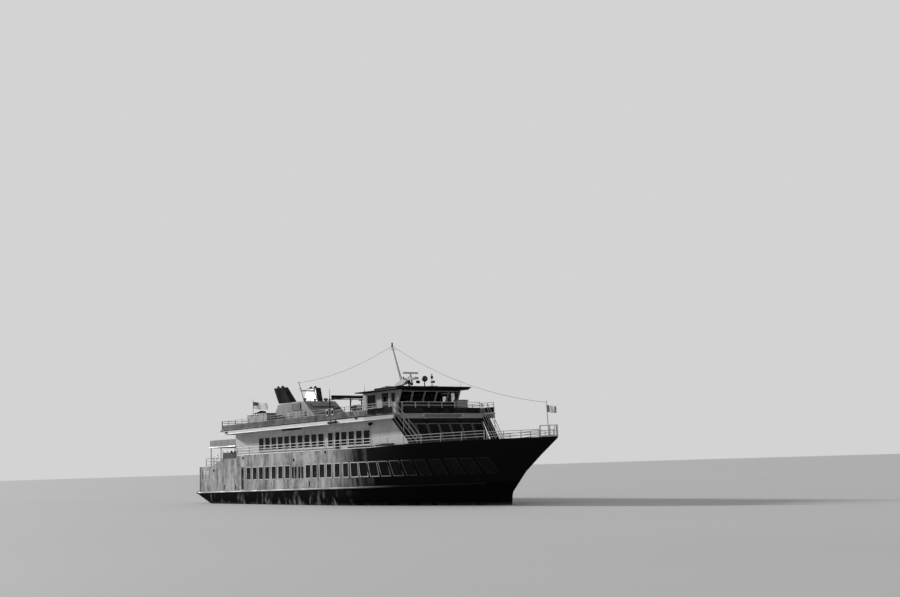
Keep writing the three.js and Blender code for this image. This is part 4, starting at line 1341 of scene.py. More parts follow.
@dataclass
class Windows(SubAssembly):
    """All windows: side shell, upper saloon, pilothouse and the lights in the doors."""

    side_width: float = 0.87
    side_height: float = 1.17
    aft_windows: tuple[float, ...] = (
        12.05, 13.36, 14.66, 15.95, 17.28, 18.6, 19.95, 23.86, 25.05, 26.35, 27.6, 29.0, 30.4)
    bow_windows: tuple[tuple[float, float], ...] = (
        (31.65, 1.1), (33.0, 1.1), (34.38, 1.1), (35.76, 1.1), (37.2, 1.05), (38.62, 1.0), (40.05, 1.0),
        (41.55, 0.95), (43.03, 0.95), (44.42, 0.9), (45.8, 0.9))
    upper: tuple[tuple[float, float], ...] = (
        (12.65, 1.0), (13.95, 1.0), (15.25, 1.0), (16.55, 1.0), (17.85, 1.0), (19.15, 1.0), (20.45, 1.0),
        (21.75, 1.0), (23.05, 1.0), (24.35, 1.0), (26.1, 0.85), (28.4, 0.95), (29.65, 0.95), (30.9, 0.97),
        (32.15, 1.0))
    upper_sill: float = 5.1
    upper_head: float = 6.3
    upper_half: float = 4.13
    upper_aft: float = 7.45
    pilothouse_aft: float = 30.4
    probe: float = 0.05

    def side_sill(self, s: float) -> float:
        """Height of the side windows' lower edge."""
        return 2.33 + 0.0047 * (s - 12.05)

    def in_shell(self, shell: Surface, side: Side) -> list[Opening]:
        """The openings in the side shell, found by probes just outside each hole.

        Args:
            shell: The shell's outer face.
            side: Which side it is on.

        Returns:
            The openings.
        """
        found = []
        for s, width in [(s, self.side_width) for s in self.aft_windows] + list(self.bow_windows):
            low, gap = self.side_sill(s), self.probe
            high = low + self.side_height
            spots = around((s - gap, s + width + gap, low - gap, high + gap))
            corners = [shell.side(a, z, side) for a, z in spots]
            for index, (a, z) in enumerate(around((s, s + width, low, high))):
                corners[index] = Vector((a, corners[index].y, z))
            found.append(Opening.through(corners, Vector((0, side.value, 0))))
        return found

    def flat(self, y: float, holes: Iterable[Hole]) -> list[Opening]:
        """Openings in an upright wall along the boat, at a distance from the centreline."""
        out = Vector((0, math.copysign(1, y), 0))
        return [Opening.through([Vector((s, y, z)) for s, z in around(hole)], out) for hole in holes]

    def across(self, place: Curve, holes: Iterable[Hole], ahead: float) -> list[Opening]:
        """Openings in a wall across the boat, whose place along depends on the height."""
        out = Vector((ahead, 0, 0))
        return [Opening.through([Vector((place(z), y, z)) for y, z in around(hole)], out) for hole in holes]

    def abreast(self, count: int, pitch: float, half: float, low: float, high: float) -> list[Hole]:
        """Holes side by side across the boat and centred on it; half is half of a hole's width."""
        middles = [(i - (count - 1) / 2) * pitch for i in range(count)]
        return [(y - half, y + half, low, high) for y in middles]

    def build(self) -> None:
        """Fits every window."""
        glazing, slim = Glazing(self), Glazing(self, 0.03, 0.012, 0.03)
        glass, clear = self.paints.glass, self.paints.clear_glass
        for side in Side:
            shell = Surface(self.nodes[f"shell_{side.label}"])
            glazing.fill(self.in_shell(shell, side), f"side_window_{side.label}", self.paints.frames, glass)
            holes = [(s, s + width, self.upper_sill, self.upper_head) for s, width in self.upper]
            glazing.fill(self.flat(side.value * self.upper_half, holes),
                         f"upper_window_{side.label}", self.paints.white, glass)
            slim.fill(self.flat(side.value * PILOTHOUSE_HALF, [(31.13, 32.5, 8.2, 9.3)]),
                      f"pilothouse_side_{side.label}", self.paints.white, glass)
            slim.fill(self.flat(side.value * PILOTHOUSE_HALF, [(34.95, 35.55, 8.5, 9.3)]),
                      f"pilothouse_corner_{side.label}", self.paints.white,
                      glass if side is Side.STBD else clear)
            self.door_lights(slim, side)
        aft = self.across(lambda z: self.upper_aft, self.abreast(2, 5.0, 0.9, 5.1, 6.3), -1)
        glazing.fill(aft, "upper_aft", self.paints.white, glass)
        panes = self.abreast(7, 1.14, 0.49, 5.2, 6.55)
        front = self.across(lambda z: 39.3 - (z - SECOND_DECK) * 1.43 / 2.68, panes, 1)
        # Grey frames on the front wall: painted shade on the face turned away from the sun.
        slim.fill(front, "upper_front", self.paints.grey, glass)
        aft = self.across(lambda z: self.pilothouse_aft, self.abreast(2, 3.6, 0.6, 8.35, 9.25), -1)
        slim.fill(aft, "pilothouse_aft", self.paints.white, glass)
        panes = self.abreast(5, FRONT_PANE_PITCH, 0.54, 8.5, 9.35)
        front = self.across(lambda z: 35.9 + (z - 8.4) * 0.5, panes, 1)
        slim.fill(front, "pilothouse_front", self.paints.white, clear)
        glazing.clear()
        slim.clear()

    def door_lights(self, glazing: Glazing, side: Side) -> None:
        """Fits the lights in the doors, which swing with them.

        Args:
            glazing: The frame and the pane that are fitted.
            side: Which side of the boat.
        """
        y = side.value * HALF_BEAM
        pair = ((0.18, 0.54, 0.85, 1.9), (0.72, 1.08, 0.85, 1.9))
        leaves = (
            ("boarding_door_aft", y, 21.032, 1.532, pair, 1),
            ("boarding_door_fore", y, 23.548, 1.532, pair, -1),
            ("side_door", y, 10.822, 1.432, ((0.14, 0.44, 1.2, 1.8),), 1),
            ("pilothouse_door", side.value * PILOTHOUSE_HALF, 34.438, 7.539, ((0.2, 0.77, 0.95, 1.55),), -1),
        )
        for name, face, hinge, foot, lights, way in leaves:
            holes = [(min(hinge + way * a, hinge + way * b), max(hinge + way * a, hinge + way * b),
                      foot + low, foot + high) for a, b, low, high in lights]
            body = f"{name}_{side.label}"
            glass = self.paints.clear_glass if name == "pilothouse_door" else self.paints.glass
            # The side door and its frames are dark enamel: painted shade of an open doorway's dark inside.
            paint = self.paints.dark if name == "side_door" else self.paints.grey
            glazing.fill(self.flat(face, holes), body, paint, glass, body=body, shift=-0.006)


# Rails


@dataclass
class GuardRail:
    """A run of guard rail: round posts on feet and round bars."""

    foot: Sequence[Vector]
    bars: tuple[float, ...]
    post_pitch: float = 1.6
    bar_radius: float = 0.026
    post_radius: float = 0.032

    def parts(self) -> list[Piece]:
        """Models the run.

        Returns:
            Its bars and posts.
        """
        made = [
            pipe([point + Vector((0, 0, height)) for point in self.foot], self.bar_radius)
            for height in self.bars]
        post = join([
            rod((0, 0, 0), (0, 0, max(self.bars)), self.post_radius, sides=8),
            rod((0, 0, 0), (0, 0, 0.02), self.post_radius * 2.2, sides=10)])
        return made + row(post, spaced(self.foot, self.post_pitch))


@dataclass
class Rails(SubAssembly):
    """All guard rails of the boat."""

    third_bars: tuple[float, ...] = (0.06, 0.5, 0.73, 0.93)
    third_y: float = -5.1
    pitch: float = 1.55
    net: tuple[float, float] = (0.07, 0.5)
    net_fore: float = 34.45

    def long_run(self, start: float, end: float, y: float, height: Curve) -> list[Vector]:
        """A straight foot line along the boat."""
        return [Vector((start, y, height(start))), Vector((end, y, height(end)))]

    def on_edge(self, shell: Surface, stations: Sequence[float], top: Curve) -> list[Vector]:
        """A foot line a little inside the hull's edge, at the stations where there is one."""
        found = [(s, shell.side(s, top(s) - 0.08)) for s in stations]
        return [Vector((s, place.y + 0.06, top(s))) for s, place in found if place]

    def build(self) -> None:
        """Builds every rail."""
        side = GuardRail(self.long_run(10.0, 34.9, -5.12, cap_height), (0.26, 0.52, 0.78), 2.48)
        self.both_sides(side.parts(), "side_rail", self.paints.white, replaces="rail_side")
        shell, bow = Surface(self.nodes["shell_stbd"]), Surface(self.nodes["bow_bulwark"])
        fore = self.on_edge(shell, (35.1, 37, 38.6, 40, 41.6, 43.2, 44.7, 46, 47.2), cap_height)
        tip = self.on_edge(bow, (47.4, 48.2, 49, 49.7, 50.4, 50.9, 51.3), lambda s: 5.0 + 0.003 * (s - 47.3))
        parts = GuardRail(fore, (0.22, 0.44, 0.66), 2.0).parts()
        parts += GuardRail(tip, (0.18, 0.37, 0.55), 1.3).parts()
        self.both_sides(parts, "bow_rail", self.paints.white, replaces="rail_bow")
        run = self.long_run(6.35, 38.3, self.third_y, third_deck)
        third = GuardRail(run, self.third_bars, self.pitch, 0.024, 0.03)
        self.both_sides(third.parts(), "third_deck_rail", self.paints.galvanised, replaces="rail_third")
        z = third_deck(6.4)
        across = [Vector((6.4, -5.06, z)), Vector((6.4, 5.06, z))]
        aft = GuardRail(across, self.third_bars, self.pitch, 0.024, 0.03)
        self.finish(aft.parts(), "third_deck_rail_aft", self.paints.galvanised, replaces=("rail_third_aft",))
        netted = self.long_run(6.35, self.net_fore, self.third_y, third_deck)
        self.both_sides(wire_mesh(*netted, *self.net), "rail_net", self.paints.netting, Slot.STEEL)
        self.finish(wire_mesh(*across, *self.net), "rail_net_aft", self.paints.netting, Slot.STEEL)
        z = third_deck(37.9)
        front = GuardRail([Vector((37.9, -3.94, z)), Vector((37.9, 3.94, z))], (0.05, 0.44, 0.67, 0.94), 1.31)
        self.finish(front.parts(), "front_rail", self.paints.white, replaces=("rail_third_front",))
        self.quarter()
        self.stern()

    def quarter(self) -> None:
        """The rail beside the ramp, with its plate forward."""
        ramp = [Vector((4.22, -5.12, 3.79)), Vector((6.62, -5.12, 4.43))]
        parts = GuardRail(ramp, (0.1, 0.33, 0.59, 0.84), 1.2, 0.028, 0.032).parts()
        flat = [Vector((6.62, -5.12, 4.45)), Vector((9.72, -5.12, 4.45))]
        parts += GuardRail(flat, (0.66, 0.78), 1.03, 0.028).parts()
        self.both_sides(parts, "quarter_rail", self.paints.white, Slot.HULL_GREY, "rail_quarter")
        panel = block((6.6, -5.14, 4.452), (9.74, -5.11, 5.05), 0.01)
        self.both_sides(panel, "quarter_panel", self.paints.bulkhead, Slot.HULL_GREY)

    def stern(self) -> None:
        """The rails round the lower stern deck."""
        heights = (0.04, 0.33, 0.64, 0.97)
        corners = ((4.08, -4.68), (1.4, -4.68), (1.38, 4.68), (4.08, 4.68))
        run = [Vector((s, y, LOWER_DECK)) for s, y in corners]
        parts = GuardRail(run, heights, 1.2).parts()
        self.finish(parts, "stern_rail", self.paints.galvanised, replaces=("rail_stern",))


# Decks and houses


@dataclass
class Decks(SubAssembly):
    """The third deck's plate, coating, mouldings, beams and fascia fittings, and the blank name board."""

    fascia: float = 0.42
    aft: float = 6.2
    fore: float = 38.38
    beam_pitch: float = 1.3

    def mouldings(self) -> None:
        """Half-round mouldings along the fascia's edges."""
        corners = ((self.fore, -5.15), (34.0, -HALF_BEAM), (self.aft, -HALF_BEAM), (self.aft, 0))
        # A dark half-round along the fascia's top edge and a pale moulding along its foot.
        edges = (("gutter", 0.035, 0.05, self.paints.dark),
                 ("moulding", self.fascia - 0.03, 0.03, self.paints.fascia))
        for name, drop, radius, paint in edges:
            points = [(s, y, third_deck(s) - drop) for s, y in corners]
            self.both_sides(pipe(points, radius), f"fascia_{name}", paint)

    def fittings(self) -> None:
        """Lamps and a rolled ladder under and on the side fascia."""
        marks = [
            rod((28.1, -5.25, 7.1), (29.5, -5.25, 7.11), 0.1, sides=14),
            block((28.3, -5.2, 7.05), (28.4, -5.12, 7.3), 0.01),
            block((29.2, -5.2, 7.05), (29.3, -5.12, 7.3), 0.01),
            block((7.3, -5.24, 6.95), (7.75, -5.17, 7.12), 0.02),
            block((32.5, -5.24, 7.2), (32.85, -5.17, 7.36), 0.03),
            rod((19.0, -4.9, 6.82), (22.5, -4.9, 6.84), 0.07, sides=12),
            rod((33.55, -4.2, 6.8), (33.55, -4.45, 6.72), 0.1, 0.15, 14),
            rod((33.55, -4.12, 6.85), (33.55, -4.3, 6.8), 0.04, sides=8)]
        self.both_sides(marks, "fascia_fittings", self.paints.dark, Slot.STEEL)

    def front(self) -> None:
        """A dark strip under the front fascia over the front windows, painted shadow of the overhang, with
        lamps on it, and the mouldings above it.
        """
        # Painted shadow: a dark strip under the fascia where the overhang shades the wall.
        outline = ((37.86, 7.0), (37.99, 6.995), (38.1, 6.78), (38.02, 6.74))
        shadow_strip = plate([(s, -4.1, z) for s, z in outline], (0, 8.2, 0))
        lamp = rod((38.0, 0, 6.72), (38.12, 0, 6.66), 0.04, 0.06, 10)
        lamps = row(lamp, [(0, -3.4 + 1.7 * i, 0) for i in range(5)])
        self.finish([shadow_strip] + lamps, "front_blind_box", self.paints.dark, Slot.CANVAS)
        parts = [pipe([(38.0, y, third_deck(38) - drop) for y in (-4.15, 4.15)], 0.03)
                 for drop in (0.03, self.fascia - 0.03)]
        self.finish(parts, "front_moulding", self.paints.fascia)

    def beams(self) -> None:
        """Deck beams, the girder and lamps under the overhang of the third deck."""
        shifts = []
        s = 8.0
        while s < 36.8:
            shifts.append((s, 0, SHEER_THIRD * s))
            s += self.beam_pitch
        top = THIRD_DECK_AFT - 0.14
        beam = plate(
            [(0, -4.135, top), (0, -5.07, top), (0, -5.07, top - 0.1), (0, -4.135, top - 0.2)], (0.05, 0, 0))
        girder = block((7.6, -4.68, top - 0.02), (36.9, -4.62, top + 0.17))
        lamp = rod((0, -4.85, top - 0.06), (0, -4.85, top + 0.02), 0.09, 0.11, 12)
        lamps = row(lamp, [(s + 0.6, 0, rise) for s, _, rise in shifts[::4]])
        self.both_sides(row(beam, shifts) + [girder], "deck_beams", self.paints.lining)
        self.both_sides(lamps, "deck_lamps", self.paints.white)

    def name_board(self) -> None:
        """A plain board with scrolled ends on the front fascia, left blank."""
        z = third_deck(38) - 0.21
        board = block((38.0, -1.75, z - 0.13), (38.045, 1.75, z + 0.13), 0.012)
        self.finish(board, "name_board", self.paints.grey)
        scroll = (
            (1.55, 0.15), (1.8, 0.19), (2.05, 0.12), (2.12, 0.02), (2.0, -0.04), (1.92, 0.03), (2.0, 0.08))
        parts = [pipe([(38.05, way * y, z + flip * dz) for y, dz in scroll], 0.045)
                 for way in (-1, 1) for flip in (-1, 1)]
        parts += [pipe([(38.05, -1.6, z + dz), (38.05, 1.6, z + dz)], 0.022) for dz in (-0.14, 0.14)]
        self.finish(parts, "name_board_scrolls", self.paints.white)

    def build(self) -> None:
        """Builds the decks' details."""
        self.cover("third_deck", "third_deck_plate", self.paints.fascia, bevel=0.015)
        corners = ((6.45, -4.95), (37.3, -4.95), (37.3, 4.95), (6.45, 4.95))
        coating = plate([(s, y, third_deck(s) + 0.002) for s, y in corners], (0, 0, 0.01))
        self.finish(coating, "third_deck_coating", self.paints.deck, Slot.DECK)
        self.mouldings()
        self.fittings()
        self.front()
        self.beams()
        self.name_board()


@dataclass
class Houses(SubAssembly):
    """The saloon's and the pilothouse's walls, trims, roof and what shows inside them."""

    wall: float = 4.14
    bench_pitch: float = 1.55
    bench_rise: float = 0.021
    roof_half: float = 3.73
    roof_aft: float = 30.2
    roof_step: float = 33.35
    roof_fore: float = 36.95

    def walls(self) -> None:
        """Rounded skins over the walls."""
        for name in [each for each in self.nodes if each.startswith(("upper_wall", "pilothouse_wall"))]:
            paint = self.paints.cabin if name.startswith("pilothouse") else self.paints.house
            # The front walls take the near-black grey, painted shade on faces turned away from the sun.
            if name.endswith("front"):
                paint = self.paints.bulkhead
            self.cover(name, f"{name}_skin", paint, bevel=0.01)

    def roof(self) -> None:
        """The pilothouse roof with a dark edge strip and its coating; the dark skin, edge and brow are
        painted shade on the roof's front and underside.
        """
        # Dark enamel on the roof's skin, edge and brow: painted shade of the roof's front and underside.
        self.cover("pilothouse_roof", "pilothouse_roof_skin", self.paints.dark, bevel=0.02)
        coating = [block((33.45, -3.6, 9.738), (36.85, 3.6, 9.75)),
                   block((30.3, -3.6, 9.598), (33.3, 3.6, 9.61))]
        self.finish(coating, "roof_coating", self.paints.grey)
        parts = []
        for end, z, radius in ((self.roof_fore, 9.69, 0.05), (self.roof_aft, 9.56, 0.04)):
            corners = ((self.roof_step, -1), (end, -1), (end, 1), (self.roof_step, 1))
            parts.append(pipe([(s, way * self.roof_half, z) for s, way in corners], radius))
        self.finish(parts, "roof_edge", self.paints.dark)
        brow = plate(
            [(36.1, -3.6, 9.49), (36.98, -3.68, 9.6), (36.98, 3.68, 9.6), (36.1, 3.6, 9.49)], (0, 0, 0.02))
        self.finish(brow, "roof_brow", self.paints.dark)

    def trims(self) -> None:
        """The doorway's rim, the rails on the upper wall, the pilothouse's strips and the wipers."""
        doorway = ((27.32, 4.57), (27.32, 6.33), (28.13, 6.33), (28.13, 4.57))
        parts = [pipe([(s, -self.wall, z) for s, z in doorway], 0.035),
                 pipe([(12.4, -4.15, 6.42), (33.3, -4.15, 6.42)], 0.025),
                 pipe([(12.4, -4.2, 4.98), (27.2, -4.2, 4.98)], 0.022)]
        stub = rod((0, -4.2, 4.98), (0, -4.1, 4.98), 0.015, sides=6)
        parts += row(stub, [(12.6 + 1.45 * i, 0, 0) for i in range(11)])
        self.both_sides(parts, "upper_trim", self.paints.white)
        strips = [pipe([(s, -3.09, 7.45), (s, -3.09, 9.48)], 0.02) for s in (31.0, 34.72, 35.75)]
        strips.append(pipe([(30.42, -3.1, 8.12), (33.4, -3.1, 8.12)], 0.022))
        self.both_sides(strips, "pilothouse_trim", self.paints.white)
        wipers = [rod((36.5, y + 0.05, 9.4), (36.12, y - 0.25, 8.75), 0.012, sides=6)
                  for y in ((i - 2) * FRONT_PANE_PITCH for i in range(5))]
        self.finish(wipers, "window_wipers", self.paints.dark, Slot.STEEL)

    def inside(self) -> None:
        """The helm, linings, benches and trunks that show through the glass."""
        console = block((34.7, -2.2, 7.45), (35.5, 1.4, 8.42), 0.04)
        wheel = ring((34.55, -0.1, 8.35), 0.26, 0.02, (1, 0, 0.2))
        seat = [block((33.4, -0.45, 7.9), (33.95, 0.15, 8.05), 0.05),
                block((33.3, -0.45, 8.0), (33.42, 0.15, 8.75), 0.05),
                rod((33.68, -0.15, 7.42), (33.68, -0.15, 7.95), 0.05)]
        self.finish([console, wheel] + seat, "helm", self.paints.dark, Slot.STEEL)
        lining = [block((30.6, -2.985, 7.45), (35.8, -2.97, 8.1)),
                  block((32.6, -2.985, 8.1), (33.4, -2.97, 9.4)),
                  block((30.485, -1.15, 7.45), (30.5, 0, 9.4)),
                  block((30.485, -2.9, 7.45), (30.5, 0, 8.3))]
        self.both_sides(lining, "pilothouse_lining", self.paints.dark, Slot.STEEL)
        bench = join([
            block((0, 0, 0.38), (0.45, 2.1, 0.46), 0.03),
            block((-0.06, 0, 0.4), (0.02, 2.1, 0.95), 0.03),
            block((0.15, 0.2, 0), (0.3, 0.3, 0.38)), block((0.15, 1.8, 0), (0.3, 1.9, 0.38))])
        pitch, rise = self.bench_pitch, self.bench_rise
        places = [(11.6 + pitch * i, y, 1.35 + rise * i) for i in range(12) for y in (-4.4, -1.05, 2.3)]
        places += [(31.4 + pitch * i, y, 1.63 + rise * i) for i in range(5) for y in (-3.0, 0.9)]
        upper = [(9.4 + 1.7 * i, y, SECOND_DECK) for i in range(16) for y in (-3.6, 1.5)]
        self.finish(row(bench, places + upper), "saloon_benches", self.paints.lining, Slot.DECK)
        mast_trunk = block((22.0, -1.2, 1.5), (23.6, 1.2, 4.1), 0.05)
        galley = block((33.6, -1.8, SECOND_DECK + 0.01), (36.0, 1.8, 6.9), 0.05)
        self.finish([mast_trunk, galley], "inner_trunks", self.paints.lining)

    def build(self) -> None:
        """Builds the houses' details."""
        self.walls()
        self.roof()
        self.trims()
        self.inside()


# Top deck


def mushroom_vent(foot: Point, height: float, size: float) -> list[Piece]:
    """A ventilator with a round cap.

    Args:
        foot: Its foot point.
        height: Height of its stem.
        size: Radius of its cap.

    Returns:
        The stem and the cap.
    """
    s, y, z = foot
    return [rod(foot, (s, y, z + height), size * 0.6, sides=14), ball((s, y, z + height + 0.02), size, 0.45)]


def bollard(foot: Point, height: float) -> list[Piece]:
    """A mooring post with a wider head.

    Args:
        foot: Its foot point.
        height: Height of its stem.

    Returns:
        The stem and the head.
    """
    s, y, z = foot
    return [rod(foot, (s, y, z + height), 0.11, sides=16),
            rod((s, y, z + height - 0.02), (s, y, z + height + 0.04), 0.15, sides=16)]


@dataclass
class Casing(SubAssembly):
    """The machinery casing with louvres, a door, vents, hatches, the two funnels and the goalpost."""

    top: float = 9.65
    half: float = 1.8
    pipe_y: float = -1.83
    rim_z: float = 11.17
    post_half: float = 0.74

    def louvre(self, wide: float, high: float, slats: int) -> Piece:
        """A louvred panel that faces starboard, its low aft corner at the origin.

        Args:
            wide: Its length along the boat.
            high: Its height.
            slats: How many slats it has.

        Returns:
            The panel.
        """
        rim = pipe([(0, 0, 0), (wide, 0, 0), (wide, 0, high), (0, 0, high)], 0.03, closed=True)
        slat = plate(
            [(0.02, -0.03, 0), (0.02, -0.02, 0), (0.02, 0.03, 0.07), (0.02, 0.02, 0.07)], (wide - 0.04, 0, 0))
        rows = row(slat, [(0, 0, 0.03 + (high - 0.12) * i / (slats - 1)) for i in range(slats)])
        return join([rim] + rows)

    def fittings(self) -> None:
        """Louvres, a door with a strip beside it, vents and the hatches down the slope."""
        louvres = []
        for s, z, wide, high in ((15.2, 8.85, 1.6, 0.6), (17.0, 8.2, 0.8, 0.5)):
            louvres += row(self.louvre(wide, high, 8), [(s, -self.half - 0.03, z)])
        strip = block((16.9, -1.84, 7.42), (17.0, -1.8, 8.9), 0.01)
        door = block((14.1, -1.85, 7.43), (14.85, -1.8, 8.5), 0.03)
        self.both_sides(louvres, "casing_louvres", self.paints.casing, Slot.HULL_GREY)
        self.both_sides([strip, door], "casing_fittings", self.paints.casing, Slot.HULL_GREY)
        top = []
        for s, y, size in ((16.6, -1.2, 0.2), (16.6, 1.1, 0.24), (16.1, 0.2, 0.17)):
            top += mushroom_vent((s, y, self.top), 0.22, size)
        top.append(block((12.3, -0.9, self.top), (14.9, 0.9, self.top + 0.12), 0.03))
        self.finish(top, "casing_vents", self.paints.grey, Slot.HULL_GREY)
        outline = ((17.7, 9.42), (17.78, 9.44), (18.28, 9.1), (18.2, 9.08))
        hatch = plate([(s, -1.2, z) for s, z in outline], (0, 2.4, 0))
        hatches = row(hatch, [(0.9 * i, 0, -0.595 * i) for i in range(3)])
        self.finish(hatches, "casing_hatches", self.paints.grey, Slot.HULL_GREY)

    def funnels(self) -> None:
        """Funnels with rounded edges, an open top, a white inner face and two pipes."""
        shell = skin(self.nodes["funnel_stbd"], 0.06)
        self.both_sides(shell, "funnel_casing", self.paints.funnel, Slot.FUNNEL, "funnel")
        inner = plate(
            [(12.3, -1.15, 9.67), (14.93, -1.15, 9.67), (13.86, -1.52, 11.12), (12.02, -1.52, 11.12)],
            (0, 0.008, 0.002))
        self.both_sides(inner, "funnel_inner_face", self.paints.cabin, Slot.FUNNEL)
        y = self.pipe_y
        pipes = [pipe([(s + 0.2, y, 10.9), (s, y, 11.22), (s - 0.1, y, 11.3)], 0.13, 3)
                 for s in (12.45, 13.35)]
        corners = ((12.0, -2.09), (13.86, -2.09), (13.86, -1.57), (12.0, -1.57))
        rim = pipe([(s, y, self.rim_z) for s, y in corners], 0.035, closed=True)
        self.both_sides(pipes + [rim], "funnel_pipes", self.paints.dark, Slot.FUNNEL)

    def goalpost(self) -> None:
        """The raked posts between the funnels, with their crossbar and lamps."""
        half = self.post_half
        posts = [
            rod((15.72, -half, self.top), (14.58, -half, 11.6), 0.05, 0.04, 12),
            rod((15.72, half, self.top), (15.0, half, 10.8), 0.05, 0.045, 12),
            rod((15.0, -half - 0.06, 10.8), (15.0, half + 0.06, 10.8), 0.07, sides=14),
            ball((14.58, -half, 11.62), 0.08),
            ball((14.86, -half, 11.02), 0.1),
            rod((15.0, half, 10.7), (15.0, half, 11.0), 0.09, sides=12)]
        self.finish(posts, "goalpost", self.paints.white, replaces=("funnel_frame",), smooth=50)

    def build(self) -> None:
        """Builds the casing and its funnels."""
        self.cover("casing", "casing_plating", self.paints.casing, Slot.HULL_GREY, bevel=0.05)
        self.fittings()
        self.funnels()
        self.goalpost()


@dataclass
class Shade(SubAssembly):
    """The canopy of canvas on its frame, with benches under it."""

    half: float = 1.8
    profile: tuple[tuple[float, float], ...] = (
        (22.66, 9.86), (22.72, 9.68), (22.95, 9.6), (23.7, 9.6), (24.9, 9.57), (26.2, 9.55), (27.5, 9.53),
        (29.05, 9.5))
    valance: float = 0.11
    thick: float = 0.008

    def cloth(self, across: float, along: float) -> Point:
        """Point of the cloth, which hangs over at the sides and sags between its hoops.

        Args:
            across: Share of the way across, from 0 to 1.
            along: Share of the way along.

        Returns:
            The point.
        """
        line = [Vector((s, 0, z)) for s, z in self.profile]
        place = along * (len(line) - 1)
        index = min(len(line) - 2, int(place))
        spot = line[index].lerp(line[index + 1], place - index)
        reach = (across - 0.5) * 2 * (self.half + self.valance)
        hang = max(0.0, abs(reach) - self.half + 0.03)
        slack = 1 - (reach / (self.half + self.valance)) ** 2
        sag = 0.03 * math.sin(math.pi * min(1.0, abs(place % 1.0))) * slack
        ripple = 0.012 * math.sin(along * 60 + reach) if hang > 0 else 0.0
        y = math.copysign(min(abs(reach), self.half - 0.03), reach) + ripple
        return spot.x, y, spot.z - hang - sag

    def build(self) -> None:
        """Builds the canopy and what is under it."""
        cloth = sheet(self.cloth, 44, 84, self.thick)
        cloth = self.finish(
            cloth, "canopy_cloth", self.paints.canvas, Slot.CANVAS, replaces=("canopy",), smooth=60)
        length = sum(math.dist(a, b) for a, b in zip(self.profile, self.profile[1:]))
        frame = []
        for y in (-1.72, 1.72):
            frame.append(block((21.8, y - 0.035, 9.42), (28.95, y + 0.035, 9.5), 0.01))
            for s in (22.3, 26.03):
                frame.append(rod((s, y, third_deck(s)), (s, y, 9.45), 0.06, sides=12))
                frame.append(rod((s, y, third_deck(s)), (s, y, third_deck(s) + 0.03), 0.11, sides=12))
                frame.append(pipe([(s + 0.03, y, 9.0), (s + 0.5, y, 9.43)], 0.02))
        hoop = rod((0, -1.75, 9.46), (0, 1.75, 9.46), 0.03, sides=8)
        frame += row(hoop, [(s, 0, 0) for s in (23.2, 24.9, 26.6, 28.3)])
        self.finish(frame, "canopy_frame", self.paints.dark, Slot.CANVAS)
        slat = block((0, -1.5, 0), (0.07, 1.5, 0.03), 0.008)
        slats = row(slat, [(0.095 * i, 0, 0.42) for i in range(5)])
        legs = [block((0.02, y, 0), (0.42, y + 0.05, 0.42), 0.01) for y in (-1.3, -0.03, 1.25)]
        bench = join(slats + legs)
        places = [(s, 0, third_deck(s) + 0.01) for s in (22.6, 23.8, 25.0, 26.2, 27.4)]
        self.finish(row(bench, places), "shade_benches", self.paints.slats, Slot.DECK)


